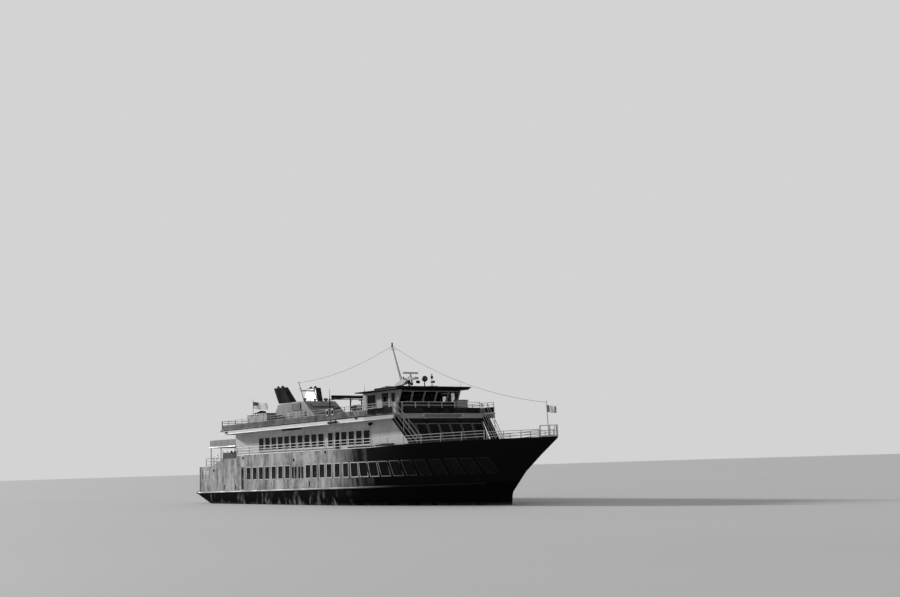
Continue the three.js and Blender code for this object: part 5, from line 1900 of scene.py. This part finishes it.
@dataclass
class MastGear(SubAssembly):
    """The mast with its bracket and lamps, the scanner, the dome, the horns, the whips and the boxes."""

    roof: float = 9.742
    low_roof: float = 9.602
    dome: tuple[float, float] = (35.44, 10.48)
    horn: float = 36.55
    trumpets: float = 10.12
    whip: tuple[float, float] = (22.4, -1.78)

    def mast(self) -> None:
        """The raked mast, its foot and platform, and its lamps."""
        bracket = ((31.1, 10.12), (32.4, 10.22), (33.0, 10.54), (34.25, 10.54), (34.25, 10.73), (32.3, 10.73),
                   (31.1, 10.3))
        light = [
            rod((32.25, 0, 9.6), (30.52, 0, 13.68), 0.12, 0.06, 14),
            rod((31.25, 0.0, 12.0), (29.9, 0.9, 12.35), 0.02, sides=6),
            plate([(s, -0.2, z) for s, z in bracket], (0, 0.4, 0)),
            rod((31.5, 0, 9.6), (31.5, 0, 10.2), 0.15, sides=14),
            rod((33.05, 0, 9.6), (33.05, 0, 10.6), 0.11, sides=14),
            rod((33.3, 0, 10.7), (33.3, 0, 10.975), 0.14, 0.1, 16),
            rod((31.83, 0, 10.73), (31.83, 0, 10.98), 0.1, 0.07, 12)]
        for s in (32.6, 33.9):
            light.append(rod((s, -0.34, 10.66), (s, 0.34, 10.66), 0.03, sides=8))
        self.finish(light, "mast_tube", self.paints.white, replaces=("mast",), smooth=40)
        dark = [
            rod((30.5, 0, 13.6), (30.5, 0, 13.92), 0.085, 0.06, 14),
            ball((30.5, 0, 13.98), 0.07),
            rod((30.62, -0.25, 13.42), (30.62, 0.25, 13.42), 0.02, sides=6),
            rod((33.35, -0.3, 10.32), (33.6, -0.36, 10.3), 0.12, 0.15, 16),
            rod((33.95, 0.2, 10.32), (34.2, 0.26, 10.3), 0.11, 0.14, 16),
            rod((33.65, -0.1, 10.1), (33.65, -0.1, 10.52), 0.06, sides=10),
            ball((33.65, -0.12, 10.16), 0.13)]
        for y in (-0.26, 0.26):
            dark.append(rod((32.6, y, 10.68), (32.6, y, 10.86), 0.05, sides=12))
        self.finish(dark, "mast_lamps", self.paints.dark, Slot.STEEL, smooth=40)

    def scanner(self) -> None:
        """The turning scanner on its gearbox."""
        bar = block((33.23, -0.78, 11.062), (33.37, 0.78, 11.22), 0.035, 3)
        hub = rod((33.3, 0, 10.982), (33.3, 0, 11.08), 0.085, 0.075, 16)
        self.finish([bar, hub], "scanner_bar", self.paints.white, body="radar_scanner",
                    replaces=("radar_scanner",), smooth=50)

    def on_roof(self) -> None:
        """Dome, horn post, whip aerials and the boxes on the roof."""
        s, z = self.dome
        dome = ball((s, 0, z), 0.25)
        foot = rod((s, 0, self.roof), (s, 0, 10.3), 0.05, sides=12)
        lamp = rod((35.66, -0.03, z), (35.7, -0.035, z), 0.07, 0.06, 20)
        self.finish(
            [dome, foot, lamp], "dome_cover", self.paints.grey, replaces=("antenna_dome",), smooth=40)
        band = rod((35.53, 0.0, z), (35.67, -0.03, z), 0.245, 0.17, 32)
        self.finish(band, "dome_front", self.paints.dark, smooth=40)
        s, z = self.horn, self.trumpets
        horn = [rod((s, 0, self.roof), (s, 0, 10.75), 0.035, 0.03, 12),
                rod((36.42, 0, z), (36.62, 0, z), 0.06, sides=12),
                rod((36.6, 0, z), (36.84, 0, z), 0.05, 0.11, 14),
                rod((s, 0, 10.43), (s, 0, 10.62), 0.11, sides=14), ball((s, 0, 10.75), 0.06)]
        self.finish(horn, "horn_set", self.paints.dark, replaces=("horn_post",), smooth=45)
        light = [block((30.45, -1.2, self.low_roof), (31.15, -0.1, 10.14), 0.04),
                 block((31.9, 0.7, self.low_roof), (32.5, 1.5, 9.9), 0.04),
                 block((33.8, 1.3, self.roof), (34.3, 2.2, 9.98), 0.04)]
        for s, y, top in ((30.9, -3.2, 10.35), (36.2, 3.2, 10.2)):
            light.append(rod((s, y, 9.6), (s, y, top), 0.016, 0.006, 6))
            light.append(rod((s, y, 9.6), (s, y, 9.78), 0.035, sides=8))
        self.finish(light, "roof_boxes", self.paints.grey)
        s, y = self.whip
        whip = [rod((s, y, 9.5), (s, y, 10.43), 0.03, 0.012, 8),
                rod((s, y, 9.5), (s, y, 9.62), 0.05, sides=10)]
        self.finish(whip, "canopy_whip", self.paints.dark, Slot.STEEL)

    def build(self) -> None:
        """Builds all of it."""
        self.mast()
        self.scanner()
        self.on_roof()


@dataclass
class Stairs(SubAssembly):
    """The raked stairs from the third deck to the foredeck, turned in with the bow."""

    s: float = 37.6
    y: float = 4.62
    turn: float = 0.22
    run: float = 2.85
    half: float = 0.31
    head: float = third_deck(37.45) - 0.06
    stringer: float = 0.26
    rail: float = 0.92
    treads: int = 9

    def slope(self, s: float) -> float:
        """Height of the stringers' upper edge."""
        return self.head - (self.head - SECOND_DECK - self.stringer) / self.run * s

    def build(self) -> None:
        """Builds both stairs."""
        parts, rails = [], []
        run, low, deck = self.run, self.head - self.stringer, SECOND_DECK
        outline = ((0, low), (run - 0.2, deck + 0.002), (run, deck + 0.002), (run, deck + self.stringer),
                   (0, self.head))
        for y in (-self.half, self.half - 0.05):
            parts.append(plate([(s, y, z) for s, z in outline], (0, 0.05, 0)))
            line = y + 0.025
            for reach in (0.0, 0.5, self.rail):
                ends = [(0.03, line, self.head + reach), (run - 0.04, line, self.slope(run) + reach)]
                rails.append(pipe(ends, 0.03))
            for s in (0.04, run / 2, run - 0.05):
                foot, top = self.slope(s) - 0.1, self.slope(s) + self.rail
                rails.append(rod((s, line, foot), (s, line, top), 0.026, sides=8))
        tread = block((0, 0.03 - self.half, -0.035), (0.26, self.half - 0.03, 0.0), 0.008)
        pitch = (run - 0.4) / self.treads
        spots = [0.06 + (i + 0.3) * pitch for i in range(self.treads)]
        parts += row(tread, [(s, 0, self.slope(s + 0.13) - 0.06) for s in spots])
        back = ((0.1, low), (run - 0.3, deck + 0.01), (run - 0.24, deck + 0.03), (0.1, low + 0.04))
        parts.append(plate([(s, -self.half + 0.03, z) for s, z in back], (0, 2 * self.half - 0.06, 0)))
        for pieces, name, paint, solid in ((parts, "foredeck_stair", self.paints.dark, "stair"),
                                           (rails, "foredeck_stair_rails", self.paints.galvanised, "")):
            stair = join(pieces)
            turn = Matrix.Rotation(self.turn, 4, "Z")
            stair.data.transform(Matrix.Translation((self.s, -self.y, 0)) @ turn)
            self.both_sides(stair, name, paint, Slot.STEEL, solid)


@dataclass
class Colours(SubAssembly):
    """The jack and ensign on their staffs, and the thin dressing lines."""

    jack_foot: Point = (51.57, 0.0, 5.09)
    jack_head: Point = (51.44, 0.0, 7.62)
    ensign: tuple[float, float] = (6.72, -1.8)
    masthead: Point = (30.5, 0.0, 13.75)

    def flag(self, corners: Sequence[Point], waves: float, depth: float) -> Piece:
        """A waving flag.

        Args:
            corners: Its corners: low and high at the staff, low and high at the fly.
            waves: How many waves run along it.
            depth: How far they swing to each side.

        Returns:
            The flag.
        """
        low, high, fly_low, fly_high = (Vector(corner) for corner in corners)

        def place(along: float, up: float) -> Vector:
            """Point of the cloth for two shares.

            Args:
                along: Share of its length.
                up: Share of its height.

            Returns:
                The point.
            """
            spot = low.lerp(high, up).lerp(fly_low.lerp(fly_high, up), along)
            swing = depth * math.sin(waves * math.tau * along + up) * min(1.0, along * 3)
            return spot + Vector((0, swing, -0.04 * math.sin(math.pi * along) * (1 - up)))

        return sheet(place, 36, 14, 0.006)

    def declare(self, piece: Piece, staff: str) -> None:
        """Takes a finished flag and does nothing with it.

        Args:
            piece: Not used.
            staff: Not used.
        """

    def build(self) -> None:
        """Builds staffs, flags and lines."""
        foot, head = self.jack_foot, self.jack_head
        staff = [rod(foot, head, 0.045, 0.026, 12), ball((51.44, 0, 7.64), 0.045),
                 rod(foot, (51.57, 0, 5.2), 0.08, sides=14)]
        self.finish(staff, "jack_pole", self.paints.white, replaces=("jackstaff",), smooth=50)
        jack = self.flag(
            [(51.5, 0, 6.84), (51.48, 0, 7.36), (52.34, 0.25, 6.74), (52.36, 0.25, 7.2)], 1.6, 0.09)
        bands = BandedCloth("jack_cloth", model_x(51.47), 0.145, (0.06, 0.75, 0.06)).build()
        jack = self.finish(jack, "jack_flag", bands, smooth=70)
        self.declare(jack, "jack_pole")
        s, y = self.ensign
        staff = [rod((s, y, third_deck(s)), (s, y, 10.4), 0.035, 0.022, 12), ball((s, y, 10.41), 0.04)]
        self.finish(staff, "ensign_pole", self.paints.white, replaces=("ensign_staff",), smooth=50)
        ensign = self.flag(
            [(6.75, y, 9.48), (6.75, y, 10.18), (8.3, -0.95, 9.3), (8.3, -0.95, 9.94)], 1.4, 0.1)
        cloth = CantonCloth("ensign_cloth", model_x(7.4), 9.78 * MODEL_SCALE).build()
        ensign = self.finish(ensign, "ensign_flag", cloth, smooth=70)
        self.declare(ensign, "ensign_pole")
        start = Vector(self.masthead)
        for name, end, sag in (("fore", (51.44, 0, 7.56), 0.9), ("aft", (14.58, -0.74, 11.6), 0.55)):
            run = Vector(end) - start
            shares = [i / 30 for i in range(31)]
            line = [start + run * t - Vector((0, 0, 4 * sag * t * (1 - t))) for t in shares]
            self.finish(pipe(line, 0.011), f"signal_line_{name}", self.paints.dark, Slot.CANVAS,
                        replaces=(f"dressing_line_{name}",), smooth=60)


@dataclass
class Dodgers(SubAssembly):
    """The canvas bands laced to the front rail and to the rails beside it."""

    thick: float = 0.008

    def band(self, start: Point, end: Point, high: float) -> Piece:
        """A wrinkled canvas band.

        Args:
            start: Its foot point at one end.
            end: Its foot point at the other end.
            high: Its height.

        Returns:
            The band.
        """
        first, last = Vector(start), Vector(end)
        run = last - first
        out = Vector((run.y, -run.x, 0)).normalized()

        def place(along: float, up: float) -> Vector:
            """Point of the band for two shares.

            Args:
                along: Share of its length.
                up: Share of its height.

            Returns:
                The point.
            """
            bulge = 0.014 * math.sin(along * run.length * 4.7) * math.sin(math.pi * up)
            scallop = -0.014 * abs(math.sin(along * run.length * 2.4)) * up
            return first + run * along + out * bulge + Vector((0, 0, high * up + scallop))

        return sheet(place, max(20, round(run.length * 14)), 8, self.thick)

    def build(self) -> None:
        """Builds the three bands."""
        z = third_deck(38) + 0.02
        bands = [("front", (37.96, -3.9, z), (37.96, 3.9, z), "front_rail")]
        for side in Side:
            start, end = ((s, side.value * 5.155, third_deck(s) + 0.04) for s in (34.5, 38.3))
            bands.append((side.label, start, end, f"third_deck_rail_{side.label}"))
        for name, start, end, rail in bands:
            high = 0.46 if name == "front" else 0.5
            piece = self.finish(self.band(start, end, high), f"canvas_band_{name}", self.paints.canvas,
                                Slot.CANVAS, smooth=70)
            flat = (high * MODEL_SCALE, math.dist(start, end) * MODEL_SCALE)


@dataclass
class DeckGear(SubAssembly):
    """Rafts, ring buoys, benches, lockers, bollards, winches and the rest on the open decks."""

    raft: Point = (31.75, -4.55, 8.22)
    net: tuple[float, float] = (-5.12, 8.31)
    winch: float = 47.9
    winch_half: float = 0.75

    def rafts(self) -> None:
        """A raft canister in its cradle and a rolled net at each side of the third deck."""
        s, y, z = self.raft
        body = [rod((s - 0.5, y, z), (s + 0.45, y, z), 0.23, sides=24), ball((s - 0.5, y, z), 0.22)]
        body += [ring((s + shift, y, z), 0.23, 0.018, (1, 0, 0)) for shift in (-0.3, 0.2)]
        self.both_sides(body, "raft_canister", self.paints.cover, smooth=40)
        cap = [ball((s + 0.45, y, z), 0.235), ring((s + 0.45, y, z), 0.235, 0.02, (1, 0, 0))]
        self.both_sides(cap, "raft_end", self.paints.white, smooth=40)
        cradle = []
        for middle in (s - 0.4, s + 0.3):
            aft, fore, deck = middle - 0.03, middle + 0.03, third_deck(s)
            cradle += [block((aft, y - 0.2, deck), (fore, y - 0.14, z), 0.01),
                       block((aft, y + 0.14, deck), (fore, y + 0.2, z), 0.01),
                       block((aft, y - 0.2, z - 0.24), (fore, y + 0.2, z - 0.19), 0.01)]
        self.both_sides(cradle, "raft_cradle", self.paints.steel, Slot.STEEL)
        y, z = self.net
        net = [ball((29.4, y, 8.3), 0.1), rod((28.95, y, z), (29.85, y, z), 0.085, sides=12),
               ball((28.95, y, z), 0.085), ball((29.85, y, z), 0.085)]
        self.both_sides(net, "rolled_net", self.paints.dark, Slot.CANVAS, smooth=50)

    def life_rings(self) -> None:
        """Ring buoys on the rails."""
        places = [(s, -5.165, third_deck(s) + 0.6) for s in (27.87, 28.77)]
        rings = row(ring((0, 0, 0), 0.24, 0.06, (0, -1, 0), 12), places)
        self.both_sides(rings, "ring_buoys", self.paints.buoy, smooth=60)
        dark = row(rod((0, 0.01, 0), (0, 0.045, 0), 0.2, sides=20), places)
        self.both_sides(dark, "ring_buoy_boards", self.paints.dark, Slot.STEEL)

    def benches(self) -> None:
        """Slatted benches along the third deck."""
        slat = block((0, 0, 0), (1.9, 0.08, 0.03), 0.008)
        slats = row(slat, [(0, 0.1 * i, 0.42) for i in range(5)])
        legs = [block((s, 0.02, 0), (s + 0.05, 0.46, 0.42), 0.01) for s in (0.15, 1.7)]
        bench = join(slats + legs)
        rows = ((-4.9, (7.9, 13.0, 15.1, 21.2, 23.3, 30.9, 33.0)), (-3.6, (13.0, 15.1, 17.2, 19.3)))
        places = [(s, y, third_deck(s) + 0.012) for y, stations in rows for s in stations]
        self.both_sides(row(bench, places), "deck_benches", self.paints.slats, Slot.DECK)

    def lockers(self) -> None:
        """The lockers with rounded edges, and the bundle of canvas on the aft one."""
        for name in ("aft_locker", "front_locker"):
            self.cover(name, f"{name}_box", self.paints.locker, Slot.HULL_GREY, bevel=0.02)
        latches = [block((s, -3.06, 8.6), (s + 0.1, -3.02, 8.74), 0.01) for s in (8.6, 9.9, 11.2)]
        latches += [block((37.2, y, 8.4), (37.25, y + 0.08, 8.55), 0.01) for y in (2.5, 2.9)]
        self.finish(latches, "locker_latches", self.paints.steel, Slot.STEEL)
        lumps = (
            (8.6, 0.24, 0.3), (9.05, 0.3, 0.45), (9.55, 0.34, 0.62), (10.05, 0.36, 0.8), (10.45, 0.3, 0.8))
        bundle = join([ball((s, -2.5, 8.83), radius, tall) for s, radius, tall in lumps])
        modify(bundle, "REMESH", mode="VOXEL", voxel_size=0.04)
        for vertex in bundle.data.vertices:
            vertex.co.z = max(vertex.co.z + 0.02 * math.sin(vertex.co.x * 17 + vertex.co.y * 9), 8.785)
        modify(bundle, "SMOOTH", iterations=12, factor=0.5)
        bundle = self.finish(bundle, "canvas_bundle", self.paints.canvas, Slot.CANVAS, smooth=80)

    def foredeck(self) -> None:
        """Winch, bollards, hatch and mushroom vents."""
        z = SECOND_DECK
        steel = []
        for y in (-1.5, 1.5):
            for s in (44.6, 45.1):
                steel += bollard((s, y, z), 0.42)
            steel.append(block((44.35, y - 0.2, z + 0.002), (45.35, y + 0.2, z + 0.05), 0.01))
        s, half, axle = self.winch, self.winch_half, z + 0.45
        steel += [rod((s, -half, axle), (s, half, axle), 0.13, sides=18),
                  rod((s, -half, axle), (s, -0.55, axle), 0.25, sides=20),
                  rod((s, 0.55, axle), (s, half, axle), 0.25, sides=20),
                  block((47.6, -0.35, z + 0.002), (48.2, 0.35, z + 0.6), 0.05)]
        self.finish(steel, "foredeck_winch", self.paints.dark, Slot.STEEL)
        light = [block((42.4, -0.6, z + 0.002), (43.6, 0.6, z + 0.3), 0.04)]
        for s, y in ((46.4, -1.0), (46.4, 1.0), (41.6, 2.6), (41.6, -2.6)):
            light += mushroom_vent((s, y, z), 0.3, 0.2)
        self.finish(light, "foredeck_hatch", self.paints.white)

    def stern(self) -> None:
        """Bollards and a capstan on the stern platform, and the shelter's rim and panels."""
        steel = []
        for y in (-3.4, 3.4):
            for s in (1.9, 2.4):
                steel += bollard((s, y, main_deck(s)), 0.4)
        z = main_deck(4.6)
        steel += [rod((4.6, 0, z), (4.6, 0, z + 0.7), 0.22, 0.16, 20),
                  rod((4.6, 0, z + 0.66), (4.6, 0, z + 0.76), 0.25, sides=20)]
        self.finish(steel, "stern_bollards", self.paints.dark, Slot.STEEL)
        corners = ((7.44, -4.13), (1.35, -4.13), (1.35, 4.13), (7.44, 4.13))
        self.finish(pipe([(s, y, 5.69) for s, y in corners], 0.07), "shelter_rim", self.paints.white)
        self.cover("stern_shelter", "shelter_panels", self.paints.casing, bevel=0.008)

    def side_trims(self) -> None:
        """Dark boards at the foot of the rails forward, and bars in the quarter openings."""
        boards = [block((31.1, -5.09, 4.77), (35.2, -5.07, 4.95), 0.004),
                  block((35.4, -5.05, 4.85), (38.3, -5.03, 5.05), 0.004)]
        self.both_sides(boards, "kick_boards", self.paints.dark, Slot.HULL_GREY)
        bars = [pipe([(s, -5.11, 2.44), (s, -5.11, 3.28)], 0.03) for s in (1.95, 2.3, 2.65, 3.0, 3.3)]
        self.both_sides(bars, "quarter_bars", self.paints.grey, Slot.HULL_GREY)

    def build(self) -> None:
        """Builds all gear."""
        self.rafts()
        self.life_rings()
        self.benches()
        self.lockers()
        self.foredeck()
        self.stern()
        self.side_trims()


@dataclass
class Pulpit(SubAssembly):
    """The small platform and rails at the stem head."""

    def build(self) -> None:
        """Builds it from a rounded skin, which keeps to the stem's form."""
        self.cover("bow_pulpit", "pulpit_rails", self.paints.white, bevel=0.008)


@dataclass
class Drive(SubAssembly):
    """The propellers with cambered blades and the rudders."""

    s: float = 6.6594
    y: float = 2.05
    z: float = -1.5
    radius: float = 0.6
    blades: int = 4

    def blade(self) -> Piece:
        """One blade: a leaf that twists along its radius.

        Returns:
            The blade.
        """

        def place(across: float, out: float) -> Point:
            """Point of the blade for two shares.

            Args:
                across: Share of its width.
                out: Share of its length.

            Returns:
                The point.
            """
            reach = 0.11 + (self.radius - 0.115) * out
            chord = 0.44 * math.sin(math.pi * (0.16 + 0.8 * out)) ** 0.7
            pitch = math.atan2(0.62, math.tau * reach)
            run = (across - 0.5) * chord
            height = math.sqrt(max(0.0, reach ** 2 - (run * 0.6) ** 2))
            return 0.17 + run * math.sin(pitch), run * math.cos(pitch), height

        leaf = sheet(place, 10, 12, 0.028)
        return modify(
            leaf, "BEVEL", width=0.006, segments=1, limit_method="ANGLE", angle_limit=math.radians(50))

    def build(self) -> None:
        """Builds propellers and rudders on their own bodies."""
        pattern = self.blade()
        parts = []
        for index in range(self.blades):
            turned = copy(pattern)
            turned.data.transform(Matrix.Rotation(math.tau * index / self.blades, 4, "X"))
            parts.append(turned)
        bpy.data.objects.remove(pattern)
        parts += [rod((0.0, 0, 0), (0.34, 0, 0), 0.12, 0.13, 20), ball((0.03, 0, 0), 0.11)]
        propeller = join(parts)
        propeller.data.transform(Matrix.Translation((self.s, -self.y, self.z)))
        self.both_sides(
            propeller, "screw", self.paints.bronze, Slot.BRONZE, "propeller", smooth=50, rides=True)
        rudder = skin(self.nodes["rudder_stbd"], 0.012)
        self.both_sides(
            rudder, "rudder_blade", self.paints.hull, Slot.HULL_BLACK, "rudder", rides=True)


@dataclass
class DoorGear(SubAssembly):
    """The doors' handles with their keyhole plates, which swing with the doors."""

    reach: float = 0.05
    high: float = 0.28

    def build(self) -> None:
        """Builds the handles."""
        leaves = (
            ("boarding_door_aft", -HALF_BEAM, 22.15, 2.45), ("boarding_door_fore", -HALF_BEAM, 22.43, 2.45),
            ("side_door", -HALF_BEAM, 11.3, 2.45), ("pilothouse_door", -PILOTHOUSE_HALF, 33.56, 8.35))
        for name, y, s, z in leaves:
            out, top = y - self.reach, z + self.high
            ends = ((y + 0.01, z), (out, z), (out, top), (y + 0.01, top))
            grip = pipe([(s, *end) for end in ends], 0.014)
            keyhole = block((s - 0.04, y - 0.012, z - 0.14), (s + 0.04, y + 0.002, z - 0.06), 0.004)
            handle = join([grip, keyhole])
            for side, made in ((Side.PORT, mirror(handle)), (Side.STBD, handle)):
                body = f"{name}_{side.label}"
                self.finish(made, f"{body}_handle", self.paints.steel, Slot.STEEL, body=body)


# Stage: camera, floor and light


@dataclass
class Stage:
    """The camera of the photograph, a pale floor at the waterline and soft light from aft."""

    camera_place: Point = (123.19, -59.68, 3.13)
    heading: tuple[float, float] = (-0.8141, 0.5807)
    pitch: float = math.radians(7.6)
    roll: float = 0.030
    lens: float = 50.0
    sensor: float = 36.0
    floor_half: float = 900.0
    sun_direction: Point = (3.8, 1.05, -1.15)
    sun_strength: float = 4.1
    sun_softness: float = math.radians(5.0)
    sky_seen: float = 0.65
    sky_light: float = 0.45

    def camera(self) -> None:
        """Places the camera."""
        data = bpy.data.cameras.new("camera")
        data.lens = self.lens
        data.sensor_width = self.sensor
        data.clip_end = 4000.0
        made = bpy.data.objects.new("camera", data)
        bpy.context.scene.collection.objects.link(made)
        level = Vector((*self.heading, 0.0)).normalized()
        forward = level * math.cos(self.pitch) + Vector((0, 0, math.sin(self.pitch)))
        right = Vector((level.y, -level.x, 0.0))
        up = right.cross(forward)
        turned_up = up * math.cos(self.roll) + right * math.sin(self.roll)
        turned_right = right * math.cos(self.roll) - up * math.sin(self.roll)
        axes = Matrix((turned_right, turned_up, -forward)).transposed().to_4x4()
        made.matrix_world = Matrix.Translation(TO_MODEL @ Vector(self.camera_place)) @ axes
        bpy.context.scene.camera = made

    def floor(self) -> None:
        """Lays the floor at the waterline."""
        deselect()
        bpy.ops.mesh.primitive_plane_add(size=2 * self.floor_half, location=(0, 0, 0))
        made = bpy.context.object
        made.name = "floor"
        shader = Shader("pale_floor")
        cloud = shader.level(shader.noise(0.05, 2.0), 0.3, 0.7, 0.0, 0.3)
        shader.set(Base_Color=shader.mix(cloud, 0.47, 0.52), Roughness=0.75)
        made.data.materials.append(shader.material)

    def sun(self) -> None:
        """Hangs a low soft sun from aft and to starboard."""
        data = bpy.data.lights.new("low_sun", "SUN")
        data.energy = self.sun_strength
        data.angle = self.sun_softness
        made = bpy.data.objects.new("low_sun", data)
        made.rotation_euler = Vector(self.sun_direction).to_track_quat("-Z", "Y").to_euler()
        bpy.context.scene.collection.objects.link(made)

    def sky(self) -> None:
        """Makes a pale sky that is brighter to look at than it is as a light."""
        world = bpy.data.worlds.new("pale_sky")
        bpy.context.scene.world = world
        world.use_nodes = True
        tree = world.node_tree
        tree.nodes.clear()
        output = tree.nodes.new("ShaderNodeOutputWorld")
        seen = tree.nodes.new("ShaderNodeBackground")
        lit = tree.nodes.new("ShaderNodeBackground")
        seen.inputs["Color"].default_value = (self.sky_seen, self.sky_seen, self.sky_seen, 1)
        seen.inputs["Strength"].default_value = 1.0
        lit.inputs["Color"].default_value = (1, 1, 1, 1)
        lit.inputs["Strength"].default_value = self.sky_light
        rays = tree.nodes.new("ShaderNodeLightPath")
        mixed = tree.nodes.new("ShaderNodeMixShader")
        tree.links.new(rays.outputs["Is Camera Ray"], mixed.inputs["Fac"])
        tree.links.new(lit.outputs[0], mixed.inputs[1])
        tree.links.new(seen.outputs[0], mixed.inputs[2])
        tree.links.new(mixed.outputs[0], output.inputs["Surface"])

    def build(self) -> None:
        """Sets the whole stage."""
        self.camera()
        self.floor()
        self.sun()
        self.sky()
        bpy.context.scene.view_settings.view_transform = "Standard"


def paint_solids(nodes: Nodes, paints: Finishes) -> None:
    """Gives every solid its finish, by the first start of a name that fits.

    Args:
        nodes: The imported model's nodes.
        paints: The boat's finishes.
    """
    by_start = (
        (("hull", "shell", "bow_bulwark", "stern_coaming", "rudder", "boarding"), paints.hull),
        (("second_deck",), paints.deck),
        (("third_deck",), paints.fascia),
        (("casing", "aft_locker", "front_locker"), paints.casing),
        (("funnel_frame",), paints.white),
        (("funnel",), paints.funnel),
        (("canopy", "rail_third_front"), paints.canvas),
        # The side door's dark enamel is painted shade of an open doorway's dark inside.
        (("stair", "side_door", "pilothouse_door"), paints.dark),
        (("propeller",), paints.bronze),
        (("upper_wall", "pilothouse", "stern_shelter"), paints.house),
        (("dressing",), paints.rubber),
    )
    for name, node in nodes.items():
        paint = next((made for starts, made in by_start if name.startswith(starts)), paints.white)
        node.data.materials.clear()
        node.data.materials.append(paint)


def main() -> None:
    """Builds the boat's looks around its solids and reports each piece."""
    logging.basicConfig(level=logging.INFO, format="%(name)s: %(message)s")
    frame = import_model()
    nodes: Nodes = frame["nodes"]
    Stage().build()
    paints = Finishes()
    paint_solids(nodes, paints)
    kinds = (
        Plating, Windows, Rails, Decks, Houses, Casing, Shade, MastGear, Stairs, Colours, Dodgers, DeckGear,
        Pulpit, Drive, DoorGear)
    for kind in kinds:
        part = kind(paints, nodes)
        part.build()
        for piece in part.made:
            LOG.info("%s made %s with %d faces", kind.__name__, piece.name, len(piece.data.polygons))


if __name__ == "__main__":
    main()
